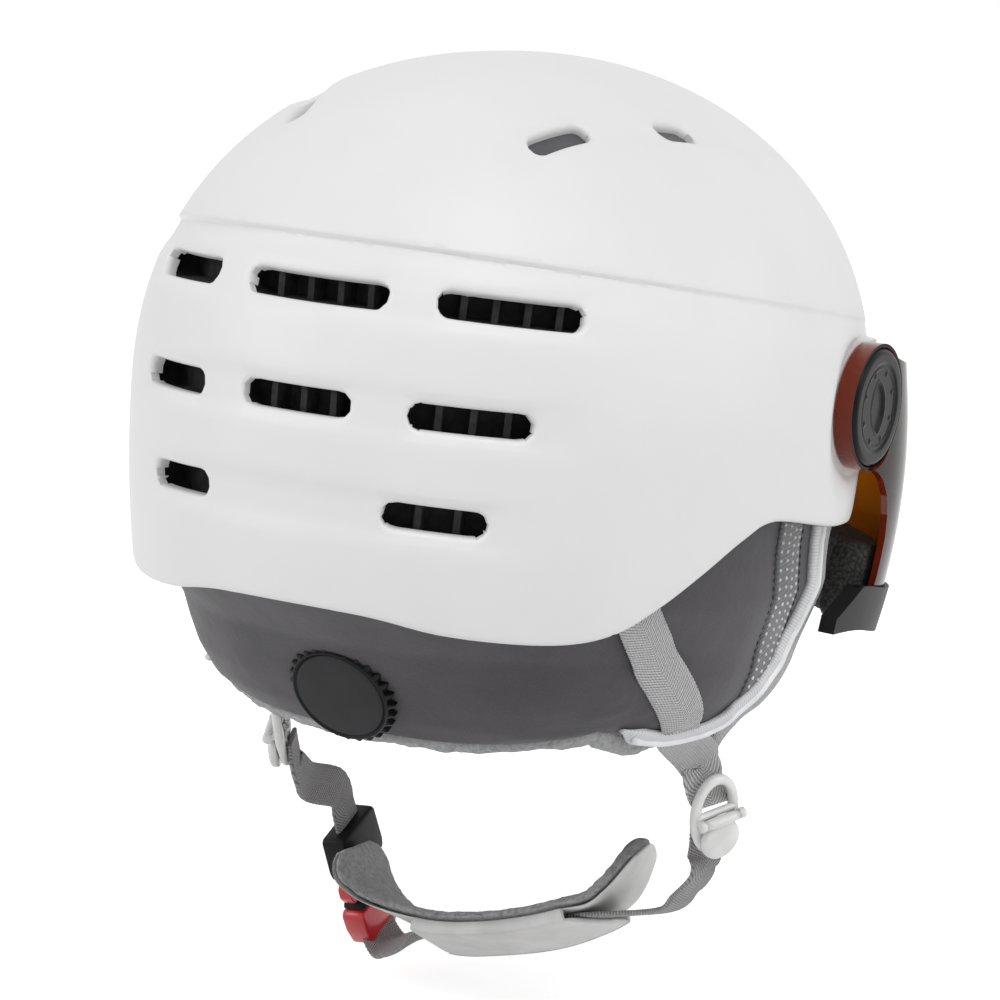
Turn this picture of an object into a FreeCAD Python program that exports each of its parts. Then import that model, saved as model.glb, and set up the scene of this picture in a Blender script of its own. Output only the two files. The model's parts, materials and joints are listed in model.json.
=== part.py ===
import FreeCAD, Part
import math
import os

import Sketcher

Vec = FreeCAD.Vector

# Ski helmet with a hinged face shield, worn upright: +Z up, front towards -Y, wearer's right towards -X.
# The origin is the middle of the head at ear height.  Every length is in millimetres, angles in degrees.
SIZES = {
    # outer shell
    "half_width": 109.0, "rear_length": 132.0, "front_length": 141.5, "crown_height": 143.0,
    "widest_rear": 30.0, "widest_side": 41.0, "widest_front": 43.5,
    "round_rear": 2.43, "round_side": 1.99, "round_front": 2.23,
    "tuck_rear": 0.047, "tuck_side": 0.038,
    "shell_wall": 3.0, "fit_gap": 0.3,
    "ridge_height": 76.3, "ridge_slope": 0.142, "ridge_step": 1.3,
    # rim, seen from the side
    "rim_rear": -14.0, "rim_low": -20.2, "rim_ear": 13.5, "rim_temple": 3.8, "brow_edge": 42.0,
    "temple_front": -67.5, "ear_middle": 22.0,
    # vents
    "vent_height": 7.8, "vent_row_top": 78.0, "vent_row_middle": 46.0, "vent_row_low": 16.1,
    "vent_channel": 10.0, "rib_pitch": 9.0, "rib_width": 2.0, "crown_vent_width": 6.5,
    # foam liner and comfort pads
    "liner_rear": 26.0, "liner_side": 20.0, "liner_front": 28.0, "liner_crown": 25.0, "pad_thickness": 7.0,
    "mesh_thickness": 1.0, "liner_lift": 5.0, "anchor_radius": 2.0,
    # neck and ear pads
    "neck_bottom": -60.0, "soft_thickness": 7.0, "fleece_thickness": 5.0, "hem_drop": 2.5,
    "ear_front": -37.0, "ear_tip": -58.5, "ear_tip_y": 25.0, "ear_split_y": 50.0, "ear_hem_drop": 5.0, "binding_width": 7.0,
    # face shield
    "hub_y": -49.0, "hub_z": 42.0, "hub_seat": "=half_width - 8.8", "hub_seat_radius": 22.5,
    "dish_rise": 8.5, "dish_spread": 17.5,
    "ring_radius": 20.2, "ring_wall": 1.2, "cap_radius": 18.7, "cap_face": "=hub_seat + 7.3",
    "screw_radius": 4.0, "screw_head_radius": 7.0, "running_fit": 0.05, "washer_thickness": 0.5,
    "lens_thickness": 2.2, "lens_half_width": "=half_width - 1", "lens_reach": 111.0, "lens_square": 2.15,
    "lens_top": 49.0, "lens_low": -38.0, "nose_rise": 24.0, "nose_angle": 22.0,
    "frame_height": 12.5, "frame_lip": 1.3, "face_foam_height": 26.0, "face_foam_thickness": 13.0,
    # fit dial
    "dial_y": 90.0, "dial_z": -48.0, "dial_tilt": 28.0, "dial_radius": 18.0, "dial_face_radius": 15.5,
    "dial_thickness": 8.5, "dial_teeth": 28.0, "pinion_teeth": 12.0, "pinion_radius": 4.5,
    "tooth_height": 0.7, "band_thickness": 1.8, "band_width": 5.0, "band_length": 38.0,
    # straps and buckle
    "webbing_width": 15.0, "webbing_thickness": 1.4, "divider_x": "=half_width * 0.725", "divider_y": -15.0,
    "divider_z": -88.0, "divider_width": 21.0, "divider_thickness": 3.2,
    "lid_thickness": 3.0, "lid_radius": 7.4, "pin_radius": 1.2, "chin_fleece": 3.8, "chin_backing": 0.9, "chin_sleeve": 1.4,
    "buckle_width": 24.0, "buckle_thickness": 9.0, "buckle_length": 30.0,
}

doc = FreeCAD.newDocument("ski_helmet")
sheet = doc.addObject("Spreadsheet::Sheet", "sizes")
for row, (alias, value) in enumerate(SIZES.items(), start=1):
    sheet.set("A%d" % row, alias)
    sheet.set("B%d" % row, str(value))
    sheet.setAlias("B%d" % row, alias)
doc.recompute()


def size(alias):
    """The value of one cell of the sheet."""
    return float(getattr(sheet, alias))


LEFT, RIGHT = 1, -1
SIDES = ((RIGHT, "right"), (LEFT, "left"))
parts = []


def keep(obj, label):
    """Give a finished sub-part its label and list it for checking and export."""
    obj.Label = label
    parts.append(obj)
    return obj


def feature(label, shape):
    """A sub-part whose shape is worked out here from the sheet."""
    obj = doc.addObject("Part::Feature", label)
    obj.Shape = shape
    obj.Placement = shape.Placement
    return keep(obj, label)


# ---------------------------------------------------------------- surfaces

def clamped_knots(count, degree):
    inner = count - degree
    return list(range(inner + 1)), [degree + 1] + [1] * (inner - 1) + [degree + 1]


def spline_face(grid):
    """A smooth open face steered by a grid of points, rows by columns."""
    rows, columns = len(grid), len(grid[0])
    row_degree, column_degree = min(3, rows - 1), min(3, columns - 1)
    row_knots, row_mults = clamped_knots(rows, row_degree)
    column_knots, column_mults = clamped_knots(columns, column_degree)
    surface = Part.BSplineSurface()
    surface.buildFromPolesMultsKnots(grid, row_mults, column_mults, row_knots, column_knots,
                                     False, False, row_degree, column_degree)
    return surface.toShape()


def plate(outer, inner):
    """A closed solid between two grids of the same layout."""
    edges_of = (lambda g: g[0], lambda g: g[-1],
                lambda g: [line[0] for line in g], lambda g: [line[-1] for line in g])
    faces = [spline_face(outer), spline_face(inner)]
    faces += [spline_face([edge(outer), edge(inner)]) for edge in edges_of]
    solid = Part.makeSolid(Part.makeShell(faces))
    if not solid.isValid():
        solid.fix(1e-6, 1e-6, 1e-6)
    if solid.Volume < 0:
        solid.reverse()
    return solid


def spread(start, end, count):
    """Evenly spaced values, both ends included."""
    return [start + (end - start) * i / (count - 1) for i in range(count)]


def prism(profile, direction):
    """A flat closed wire or list of edges pushed along a direction."""
    wire = profile if isinstance(profile, Part.Wire) else Part.Wire(Part.__sortEdges__(profile))
    return Part.Face(wire).extrude(direction)


def polyline(points):
    return [Part.makeLine(a, b) for a, b in zip(points, points[1:])]


def side_prism(points_yz, half_span=150.0):
    """A closed outline in the side view, pushed right across the helmet."""
    corners = [Vec(-half_span, y, z) for y, z in points_yz]
    return prism(polyline(corners + corners[:1]), Vec(2 * half_span, 0, 0))


# ---------------------------------------------------------------- helmet form

def by_direction(phi, rear, side, front):
    """A value that turns smoothly from the rear to the side to the front."""
    c = math.cos(phi)
    return side + ((rear if c > 0 else front) - side) * c * c


def form_point(phi, z):
    """Outside of the helmet at a direction (0 = rear, 90 = wearer's right) and a height."""
    widest = by_direction(phi, size("widest_rear"), size("widest_side"), size("widest_front"))
    roundness = by_direction(phi, size("round_rear"), size("round_side"), size("round_front"))
    if z > widest:
        share = min(1.0, (z - widest) / (size("crown_height") - widest))
        grow = max(0.0, 1 - share ** roundness) ** (1 / roundness)
    else:
        tuck = by_direction(phi, size("tuck_rear"), size("tuck_side"), size("tuck_side"))
        grow = 1 - tuck * ((widest - z) / 60.0) ** 2
    length = size("rear_length") if math.cos(phi) > 0 else size("front_length")
    return Vec(-size("half_width") * grow * math.sin(phi), length * grow * math.cos(phi), z)


def form_offset(phi, z, inset):
    """The same point moved inwards, square to the form."""
    top = size("crown_height")
    if z > top - 1e-6:
        return Vec(0, 0, top - inset)
    step = 1e-3
    around = form_point(phi + step, z) - form_point(phi - step, z)
    upward = form_point(phi, min(z + step, top)) - form_point(phi, z - step)
    normal = around.cross(upward)
    if normal.Length < 1e-12:
        return Vec(0, 0, z - inset)
    return form_point(phi, z) - normal.normalize() * inset


def over_plan(x, y, inset):
    """The point of the form above a place in the plan view."""
    length = size("rear_length") if y > 0 else size("front_length")
    phi = math.atan2(-x / size("half_width"), y / length)
    reach = math.hypot(x / size("half_width"), y / length)
    widest = by_direction(phi, size("widest_rear"), size("widest_side"), size("widest_front"))
    roundness = by_direction(phi, size("round_rear"), size("round_side"), size("round_front"))
    rise = (1 - min(reach, 0.999) ** roundness) ** (1 / roundness)
    return form_offset(phi, widest + (size("crown_height") - widest) * rise, inset)


def ridge_at(y):
    """Height of the crease that runs round the crown, which slopes down to the front."""
    return size("ridge_height") + size("ridge_slope") * y


def ridge_inset(phi, z):
    """How far the band under the crease lies inside the form: full at the rear, none at the front."""
    fade = max(0.0, math.cos(phi * 0.62)) ** 2
    below = ridge_at(form_point(phi, z).y) - z
    if below <= 0:
        return 0.0
    rise = min(1.0, below / 1.5)
    settle = max(0.0, min(1.0, (12.0 - below) / 8.0))
    return size("ridge_step") * fade * rise * (settle * settle * (3 - 2 * settle) * 0.75 + 0.25 * (settle > 0))


FORM_FLOOR = -50.0
FORM_COLUMNS = 60


def meridian_heights(phi):
    crease = ridge_at(0.9 * size("rear_length") * math.cos(phi))
    low = spread(FORM_FLOOR, crease - 14, 15)
    near = [crease + step for step in (-10, -7, -4.5, -2.5, -1, 0.4, 2.5, 6)]
    top = size("crown_height")
    high = [crease + 6 + (top - crease - 6) * (1 - (1 - i / 12) ** 2) for i in range(1, 13)]
    return low + near + high


def dome(inset_at):
    """A closed solid under the form, moved inwards by inset_at(phi, z)."""
    poles = []
    for column in range(FORM_COLUMNS):
        phi = 2 * math.pi * column / FORM_COLUMNS
        turn = phi if phi <= math.pi else phi - 2 * math.pi
        line = [form_offset(phi, z, inset_at(turn, z)) for z in meridian_heights(phi)]
        line[0].z = FORM_FLOOR
        line[-1] = Vec(0, 0, size("crown_height") - inset_at(0, size("crown_height")))
        poles.append(line)
    knots, mults = clamped_knots(len(poles[0]), 3)
    surface = Part.BSplineSurface()
    surface.buildFromPolesMultsKnots(poles, [1] * (FORM_COLUMNS + 1), mults,
                                     list(range(FORM_COLUMNS + 1)), knots, True, False, 3, 3)
    skin = surface.toShape()
    rings = [edge for edge in skin.Edges
             if not edge.Degenerated and edge.BoundBox.ZLength < 1e-6]
    solid = Part.makeSolid(Part.makeShell([skin, Part.Face(Part.Wire(rings[:1]))]))
    if not solid.isValid():
        solid.fix(1e-6, 1e-6, 1e-6)
    return solid


def rim_sweep():
    """The rim in the side view from the nape to the temple: pairs of y and z."""
    ear, low = size("rim_ear"), size("rim_low")
    temple, front = size("rim_temple"), size("temple_front")
    return [(150, size("rim_rear") + 2), (128, size("rim_rear")), (114, low + 1.5), (93, low), (78, low + 3),
            (65, low + 11), (52, low + 20), (37, ear - 4.5), (size("ear_middle"), ear),
            (-9, ear - 4.4), (-26, temple + 2.6), (front + 15, temple)]


def rim_height(y):
    """Height of the rim at a place along the side."""
    sweep = rim_sweep()
    for (rear_y, rear_z), (front_y, front_z) in zip(sweep, sweep[1:]):
        if front_y <= y <= rear_y:
            return rear_z + (front_z - rear_z) * (rear_y - y) / (rear_y - front_y)
    return sweep[-1][1] if y < 0 else sweep[0][1]


def liner_edge(y):
    """Height of the foam liner's lower edge, which lies inside the rim."""
    lift = size("liner_lift")
    return min(rim_height(y - lift + step) for step in (-3, 0, 3)) + lift


def below_rim():
    """Everything under the rim: the sweep over the neck, the ear cut-out, the temple and the brow."""
    temple, front, brow = size("rim_temple"), size("temple_front"), size("brow_edge")
    sweep = rim_sweep()
    curve = Part.BSplineCurve()
    curve.interpolate([Vec(-150, y, z) for y, z in sweep])
    corner = Part.Arc(Vec(-150, front + 15, temple), Vec(-150, front + 4, temple + 4.2),
                      Vec(-150, front, temple + 16))
    rest = [(front, temple + 16), (front - 12, brow - 7), (front - 42, brow), (-170, brow + 2),
            (-170, -90), (150, -90), (150, size("rim_rear") + 2)]
    edges = [curve.toShape(), corner.toShape()] + polyline([Vec(-150, y, z) for y, z in rest])
    return prism(edges, Vec(300, 0, 0))


def slot(phi_start, z_start, phi_end, z_end, tall, outward=20.0, inward=30.0):
    """A round-ended bar through the wall between two directions."""
    start = form_point(math.radians(phi_start), z_start)
    end = form_point(math.radians(phi_end), z_end)
    along = (end - start).normalize()
    middle = (start + end) * 0.5
    out = Vec(middle.x, middle.y, 0).normalize()
    across = out.cross(along).normalize()
    half = tall / 2
    extra = half - size("vent_height") / 2
    a, b = start + along * (half - extra), end - along * (half - extra)
    edges = [Part.makeLine(a + across * half, b + across * half),
             Part.Arc(b + across * half, b + along * half, b - across * half).toShape(),
             Part.makeLine(b - across * half, a - across * half),
             Part.Arc(a - across * half, a - along * half, a + across * half).toShape()]
    bar = prism(edges, out * (outward + inward))
    bar.translate(out * -inward)
    return bar, middle, along, out, (b - a).Length + 2 * half


def vent_ends():
    """Both ends of each vent behind and beside the head: direction and height."""
    top, middle, low = size("vent_row_top"), size("vent_row_middle"), size("vent_row_low")
    ends = [(-13.1, top, 13.1, top), (-9.6, middle, 9.6, middle)]
    for side in (1, -1):
        ends += [(side * 20.9, top - 0.2, side * 43.9, top - 2.6),
                 (side * 18.5, middle - 0.7, side * 37.1, middle - 2.1),
                 (side * 15.7, low, side * 31.5, low - 1.5)]
    return ends


CROWN_VENTS = (((40.5, 73.0), (47.5, 51.0)), ((57.0, 22.0), (60.8, 6.0)))


def crown_slot(side, ends, grow=0.0):
    """An upright round-ended bar through the crown."""
    start, end = [Vec(side * x, y, 90) for x, y in ends]
    along = (end - start).normalize()
    across = Vec(0, 0, 1).cross(along)
    half = size("crown_vent_width") / 2 + grow
    edges = [Part.makeLine(start + across * half, end + across * half),
             Part.Arc(end + across * half, end + along * half, end - across * half).toShape(),
             Part.makeLine(end - across * half, start - across * half),
             Part.Arc(start - across * half, start - along * half, start + across * half).toShape()]
    return prism(edges, Vec(0, 0, 70))


def crown_mesh_plate(side, outer_inset, inner_inset, margin):
    """A strip that follows the form under the crown vents of one side."""
    line = ((38.5, 80.0), (43.0, 64.0), (49.5, 46.0), (56.0, 27.0), (60.0, 10.0), (62.0, -2.0))
    half = size("crown_vent_width") / 2 + margin
    grids = []
    for inset in (outer_inset, inner_inset):
        grids.append([[over_plan(side * (x + shift), y, inset) for shift in (-half, 0, half)]
                      for x, y in ((line[0][0], line[0][1] + margin), *line[1:-1],
                                   (line[-1][0], line[-1][1] - margin))])
    return plate(*grids)


def hub_cylinder(side, radius, near, far):
    """A round bar on the hinge axis of the face shield, between two distances from the middle."""
    return Part.makeCylinder(radius, far - near, Vec(side * near, size("hub_y"), size("hub_z")),
                             Vec(side, 0, 0))


def dish_cone(side, deeper=0.0, wider=0.0):
    """The shallow cone round a hinge seat, which lets the lens ring stand clear of the shell."""
    seat, radius = size("hub_seat") - deeper, size("hub_seat_radius") + wider
    rise, spread_out = size("dish_rise"), size("dish_spread")
    return Part.makeCone(radius, radius + 3 * spread_out, 3 * rise,
                         Vec(side * seat, size("hub_y"), size("hub_z")), Vec(side, 0, 0))


def make_shell(rim):
    wall = size("shell_wall")
    outer = dome(ridge_inset)
    inner = dome(lambda phi, z: wall + ridge_inset(phi, z))
    shell = outer.cut(inner)
    seat, seat_radius = size("hub_seat"), size("hub_seat_radius")
    for side, _ in SIDES:
        shell = shell.fuse(dish_cone(side, 1.4 * wall, wall).common(outer))
        shell = shell.fuse(hub_cylinder(side, seat_radius, seat - 6, seat))
        shell = shell.cut(dish_cone(side))
        shell = shell.cut(hub_cylinder(side, size("screw_radius") + 2.0, seat - 10, seat + 1))
    cutters = [slot(*ends, size("vent_height"))[0] for ends in vent_ends()]
    for side, _ in SIDES:
        cutters += [crown_slot(side, ends) for ends in CROWN_VENTS]
    shell = shell.cut(rim).cut(Part.makeCompound(cutters))
    feature("outer_shell", shell)


def liner_inset(phi, z):
    """How far the inside of the foam liner lies inside the form: one thickness at the crown, others below."""
    base = size("shell_wall") + size("fit_gap")
    around = by_direction(phi, size("liner_rear"), size("liner_side"), size("liner_front"))
    start = 0.5 * size("crown_height")
    share = max(0.0, min(1.0, (z - start) / (0.85 * size("crown_height") - start)))
    return base + around + (size("liner_crown") - around) * share * share * (3 - 2 * share)


def make_liner(rim):
    """Energy-absorbing foam with a channel and upright ribs behind each vent."""
    skin = size("shell_wall") + size("fit_gap")
    outer = dome(lambda phi, z: skin + ridge_inset(phi, z))
    inner = dome(liner_inset)
    liner = outer.cut(inner)
    raised = rim.copy()
    raised.translate(Vec(0, size("liner_lift"), size("liner_lift")))
    cutters = [raised]
    for ends in vent_ends():
        depth = skin + size("vent_channel")
        bar, middle, along, out, length = slot(*ends, size("vent_height") + 3, 20, depth)
        count = int(length // size("rib_pitch"))
        up = out.cross(along).normalize()
        ribs = []
        for i in range(1, count):
            place = middle + along * (length * (i / count - 0.5)) - out * (depth + 1)
            rib = Part.makeBox(size("rib_width"), 40, depth - skin - 1.5)
            rib.Placement = FreeCAD.Placement(
                place - along * (size("rib_width") / 2) - up * 20 * (1 if up.z > 0 else -1),
                FreeCAD.Rotation(along, up * (1 if up.z > 0 else -1), out, "ZXY"))
            ribs.append(rib)
        cutters.append(bar.cut(Part.makeCompound(ribs)) if ribs else bar)
    gap = size("fit_gap")
    for side, _ in SIDES:
        cutters.append(crown_mesh_plate(side, skin - 2, skin + 0.7 + size("mesh_thickness") + gap, 4 + gap))
        cutters.append(hub_cylinder(side, size("hub_seat_radius") + gap, size("hub_seat") - 6 - gap, size("half_width") + 21))
        cutters.append(dish_cone(side, 1.4 * size("shell_wall") + gap, size("shell_wall") + gap))
        cutters.append(hub_cylinder(side, size("screw_radius") + 3.0, size("hub_seat") - 12, size("half_width") + 21))
    for cutter in cutters:
        liner = liner.cut(cutter)
    feature("foam_liner", liner)
    for side, word in SIDES:
        mesh = crown_mesh_plate(side, skin + 0.7, skin + 0.7 + size("mesh_thickness"), 4)
        feature("crown_mesh_" + word, mesh)


# ---------------------------------------------------------------- comfort pads

def form_pad(phi_range, z_range, columns, rows):
    """A pad lying on the inside of the foam liner."""
    grids = []
    for extra in (size("fit_gap"), size("fit_gap") + size("pad_thickness")):
        grids.append([[form_offset(math.radians(phi), z, liner_inset(math.radians(phi), z) + extra)
                       for z in spread(*z_range, rows)] for phi in spread(*phi_range, columns)])
    return plate(*grids)


def make_comfort_pads():
    feature("brow_pad", form_pad((135, 225), (54, 78), 11, 4))
    for side, word in SIDES:
        feature("side_pad_" + word, form_pad((-side * 62, -side * 112), (34, 72), 7, 4))
        feature("rear_pad_" + word, form_pad((-side * 12, -side * 45), (26, 66), 5, 4))
    grids = []
    for extra in (2 * size("fit_gap"), 2 * size("fit_gap") + size("pad_thickness")):
        grid = []
        for y in spread(66, -70, 8):
            line = []
            for x in spread(-34, 34, 5):
                length = size("rear_length") if y > 0 else size("front_length")
                phi = math.atan2(-x / size("half_width"), y / length)
                z = over_plan(x, y, 0).z
                line.append(over_plan(x, y, liner_inset(phi, z) + extra))
            grid.append(line)
        grids.append(grid)
    feature("crown_pad", plate(*grids))


# ---------------------------------------------------------------- neck and ear pads

# Outside of the soft pads at each height: its half width and rear length as shares of the shell's, and the
# squareness of the oval.
PAD_LEVELS = ((10.0, 0.8991, 0.9015, 2.10), (-14.0, 0.8807, 0.8864, 2.10), (-22.0, 0.8532, 0.8182, 2.15),
              (-30.0, 0.8257, 0.7500, 2.20), (-38.0, 0.8073, 0.7045, 2.30), (-46.0, 0.7752, 0.6667, 2.40),
              (-54.0, 0.7248, 0.6288, 2.40), (-60.0, 0.6606, 0.5909, 2.30))


def pad_level(z):
    """The oval at any height, between the listed ones."""
    levels = PAD_LEVELS
    for upper, lower in zip(levels, levels[1:]):
        if z >= lower[0]:
            share = (upper[0] - z) / (upper[0] - lower[0])
            found = [a + (b - a) * share for a, b in zip(upper, lower)]
            break
    else:
        found = list(levels[-1])
    return found[0], found[1] * size("half_width"), found[2] * size("rear_length"), found[3]


def pad_point(phi, z, inset=0.0):
    """Outside of the neck pad at a direction and height, moved inwards by inset."""
    _, half, rear, square = pad_level(z)
    s, c = math.sin(phi), math.cos(phi)
    return Vec(-(half - inset) * math.copysign(abs(s) ** (2 / square), s),
               (rear - inset) * math.copysign(abs(c) ** (2 / square), c), z)


NECK_END = 68.0


def pad_top(y):
    """The soft pads' hidden upper edge, just under the foam liner."""
    return min(liner_edge(y + step) for step in (-4, 0, 4)) - size("fit_gap") - 0.3


def neck_top(phi):
    full = size("soft_thickness") + size("fleece_thickness") + 8
    return min(pad_top(pad_point(phi, -10, inset).y) for inset in spread(0, full, 5))


def neck_low(phi):
    return size("neck_bottom") + 6 * (abs(math.degrees(phi)) / NECK_END) ** 2


def neck_grid(inset, top_shift, low_shift):
    grid = []
    for degrees in spread(-NECK_END, NECK_END, 15):
        phi = math.radians(degrees)
        grid.append([pad_point(phi, z, inset)
                     for z in spread(neck_top(phi) + top_shift, neck_low(phi) + low_shift, 8)])
    return grid


def dial_frame():
    """Position of the dial: its face centre, with the local Z axis pointing out of the face."""
    tilt = FreeCAD.Rotation(Vec(1, 0, 0), -90 - size("dial_tilt"))
    return FreeCAD.Placement(Vec(0, size("dial_y"), size("dial_z")), tilt)


def in_dial_frame(shape):
    shape.Placement = dial_frame().multiply(shape.Placement)
    return shape


def make_neck():
    thick, fleece, gap = size("soft_thickness"), size("fleece_thickness"), 3 * size("fit_gap")
    ahead = Part.makeBox(300, 200, 200, Vec(-150, size("ear_split_y") - 200, -150))
    pad = plate(neck_grid(0, 0, 0), neck_grid(thick, 0, 0)).cut(ahead)
    room = in_dial_frame(Part.makeCylinder(size("dial_radius") + 1.2, 60, Vec(0, 0, -size("dial_thickness") - 0.6)))
    reach = size("band_length")
    body_room = in_dial_frame(Part.makeBox(2 * reach, 27, 9, Vec(-reach, -13.5, -size("dial_thickness") - 8.6)))
    feature("neck_pad", pad.cut(room).cut(body_room))
    lining = plate(neck_grid(thick + gap, 0, -size("hem_drop")),
                   neck_grid(thick + gap + fleece, 0, -size("hem_drop")))
    behind = plate(neck_grid(0, 0, 0), neck_grid(thick + gap / 3, 0, 0))
    feature("neck_fleece", lining.cut(behind).cut(ahead).cut(room).cut(body_room))


EAR_COLUMNS = 11


def ear_low(y):
    """Lower edge: deepest at the tip, sweeping up to the temple."""
    tip, front, tip_y = size("ear_tip"), size("ear_front"), size("ear_tip_y")
    if y > tip_y:
        return tip + (y - tip_y) * 0.14
    share = min(1.0, (tip_y - y) / (tip_y - front))
    return tip + (size("rim_ear") - 3 - tip) * (1 - (1 - share ** 2.6) ** 0.625) * 0.8


def ear_point(side, y, z, inset):
    _, half, rear, square = pad_level(z)
    bow = max(0.0, 1 - abs(y / (rear if y > 0 else 1.6 * rear)) ** square) ** (1 / square)
    forward = max(0.0, min(1.0, (45 - y) / 35.0))
    swell = 1 + 0.07 * forward * max(0.0, min(1.0, -z / 60.0))
    return Vec(side * (half * bow * swell - inset), y, z)


def ear_grid(side, start, end, inset, top=pad_top, low=ear_low, columns=EAR_COLUMNS, rows=6):
    return [[ear_point(side, y, z, inset) for z in spread(top(y), low(y), rows)]
            for y in spread(start, end, columns)]


def make_ears():
    thick, fleece, gap = size("soft_thickness"), size("fleece_thickness"), size("fit_gap")
    strap = gap + size("webbing_thickness") + 3 * gap
    front = size("ear_front")
    rear_end = size("ear_split_y") - 0.5
    for side, word in SIDES:
        pad = plate(ear_grid(side, rear_end, front, 0), ear_grid(side, rear_end, front, thick))
        feature("ear_pad_" + word, pad)

        def hem(y):
            return ear_low(y) - size("ear_hem_drop")

        lining = plate(ear_grid(side, rear_end, front + 1, thick + 3 * gap, low=hem),
                       ear_grid(side, rear_end, front + 1, thick + 3 * gap + fleece, low=hem))
        behind = plate(ear_grid(side, rear_end + 1, front - 1, 0),
                       ear_grid(side, rear_end + 1, front - 1, thick + gap))
        feature("ear_fleece_" + word, lining.cut(behind))

        def mesh_low(y):
            return ear_low(y) + size("binding_width") + 1.5

        mesh = plate(ear_grid(side, -2, -19, -gap - size("mesh_thickness"), pad_top, mesh_low, 4),
                     ear_grid(side, -2, -19, -gap, pad_top, mesh_low, 4))
        feature("ear_mesh_" + word, mesh)

        def band_top(y):
            return ear_low(y) + size("binding_width") - 1.0

        def band_low(y):
            return ear_low(y) - 1.0

        binding = plate(ear_grid(side, 42, front + 4, -strap - gap - 1.6, band_top, band_low, 12, 4),
                        ear_grid(side, 42, front + 4, -strap - gap, band_top, band_low, 12, 4))
        feature("ear_binding_" + word, binding)


# ---------------------------------------------------------------- face shield

def shield_point(angle, z, inset):
    """Outside of the lens at an angle from straight ahead (90 = the side) and a height."""
    drop = z - 15.0
    half = size("lens_half_width") - 0.002 * drop * drop - inset
    reach = size("lens_reach") - 0.0042 * drop * drop - inset
    power = 2 / size("lens_square")
    s, c = math.sin(angle), math.cos(angle)
    return Vec(half * math.copysign(abs(s) ** power, s),
               size("hub_y") - 1 - reach * math.copysign(abs(c) ** power, c), z)


def lens_low(degrees):
    nose = size("nose_rise") * math.exp(-(degrees / size("nose_angle")) ** 2)
    return size("lens_low") + nose + 11 * (abs(degrees) / 90.0) ** 4


def lens_top(degrees):
    return size("lens_top") + (size("hub_z") + size("ring_radius") - size("lens_top")) * (abs(degrees) / 90.0) ** 6


def shield_grid(limit, inset, low, top, columns=25, rows=8):
    return [[shield_point(math.radians(angle), z, inset) for z in spread(low(angle), top(angle), rows)]
            for angle in spread(-limit, limit, columns)]


def behind_lens():
    """The space behind the lens's rear edge, under the hub."""
    y, z = size("hub_y"), size("hub_z")
    ring = size("ring_radius")
    return side_prism([(y + 40, z - ring), (y - 2, z - ring), (y - 9, z - ring - 3.5), (y - 15, z - ring - 9.5),
                       (y - 18, z - ring - 16), (y - 19.5, z - ring - 24), (y - 18.5, z - ring - 36),
                       (y - 13, z - ring - 60), (y + 40, z - ring - 60)])


def make_lens():
    lens = plate(shield_grid(90, 0, lens_low, lens_top),
                 shield_grid(90, size("lens_thickness"), lens_low, lens_top))
    lens = lens.cut(behind_lens())
    floor = size("hub_seat") + size("washer_thickness") + 0.1
    ring, wall = size("ring_radius"), size("ring_wall")
    for side, _ in SIDES:
        lens = lens.cut(hub_cylinder(side, ring - 0.6, floor - 1, size("half_width") + 21))
        cup = hub_cylinder(side, ring, floor, size("cap_face") - 1)
        cup = cup.cut(hub_cylinder(side, ring - wall, floor + 2, size("half_width") + 21))
        lens = lens.fuse(cup)
        lens = lens.cut(hub_cylinder(side, size("screw_radius") + size("running_fit"), floor - 1, size("half_width") + 21))
    feature("visor_lens", lens)


FRAME_ANGLE = 97.0


def make_visor_trim():
    lip, tall = size("frame_lip"), size("frame_height")
    low = lambda a: lens_low(min(abs(a), 90.0)) - 2.0
    top = lambda a: lens_low(min(abs(a), 90.0)) + tall
    frame = plate(shield_grid(FRAME_ANGLE, -lip - 0.25, low, top, 27, 4),
                  shield_grid(FRAME_ANGLE, size("lens_thickness") + 2.0, low, top, 27, 4))
    groove_low = lambda a: lens_low(min(abs(a), 90.0)) - 0.3
    groove_top = lambda a: top(a) + 10
    groove = plate(shield_grid(90, -0.25, groove_low, groove_top, 27, 4),
                   shield_grid(90, size("lens_thickness") + 0.25, groove_low, groove_top, 27, 4))
    y = size("hub_y")
    slope = side_prism([(y + 60, 20), (y - 26, 20), (y - 12, -10), (y + 2, -17.5), (y + 14, -24), (y + 14, -60),
                        (y + 60, -60)])
    feature("visor_frame", frame.cut(groove).cut(slope))
    back = 4.3 + size("face_foam_thickness")
    foam_low = lambda a: lens_low(min(abs(a), 90.0)) + 1.0
    foam_top = lambda a: foam_low(a) + size("face_foam_height")
    foam = plate(shield_grid(82, 4.5, foam_low, foam_top, 21, 5), shield_grid(82, back, foam_low, foam_top, 21, 5))
    feature("visor_foam", foam)


def cylinder(name, radius, height, base=Vec(0, 0, 0)):
    """A Part cylinder whose radius and height are expressions of the sheet."""
    obj = doc.addObject("Part::Cylinder", name)
    obj.setExpression("Radius", radius)
    obj.setExpression("Height", height)
    obj.Placement = FreeCAD.Placement(base, FreeCAD.Rotation())
    return obj


def cut(name, base, tool):
    obj = doc.addObject("Part::Cut", name)
    obj.Base = base
    obj.Tool = tool
    return obj


def fuse(name, shapes):
    obj = doc.addObject("Part::MultiFuse", name)
    obj.Shapes = shapes
    return obj


def hub_placement(side, distance):
    """Local Z outwards along the hinge axis, from a distance from the middle."""
    return FreeCAD.Placement(Vec(side * distance, size("hub_y"), size("hub_z")),
                             FreeCAD.Rotation(Vec(0, 1, 0), 90 * side))


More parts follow.
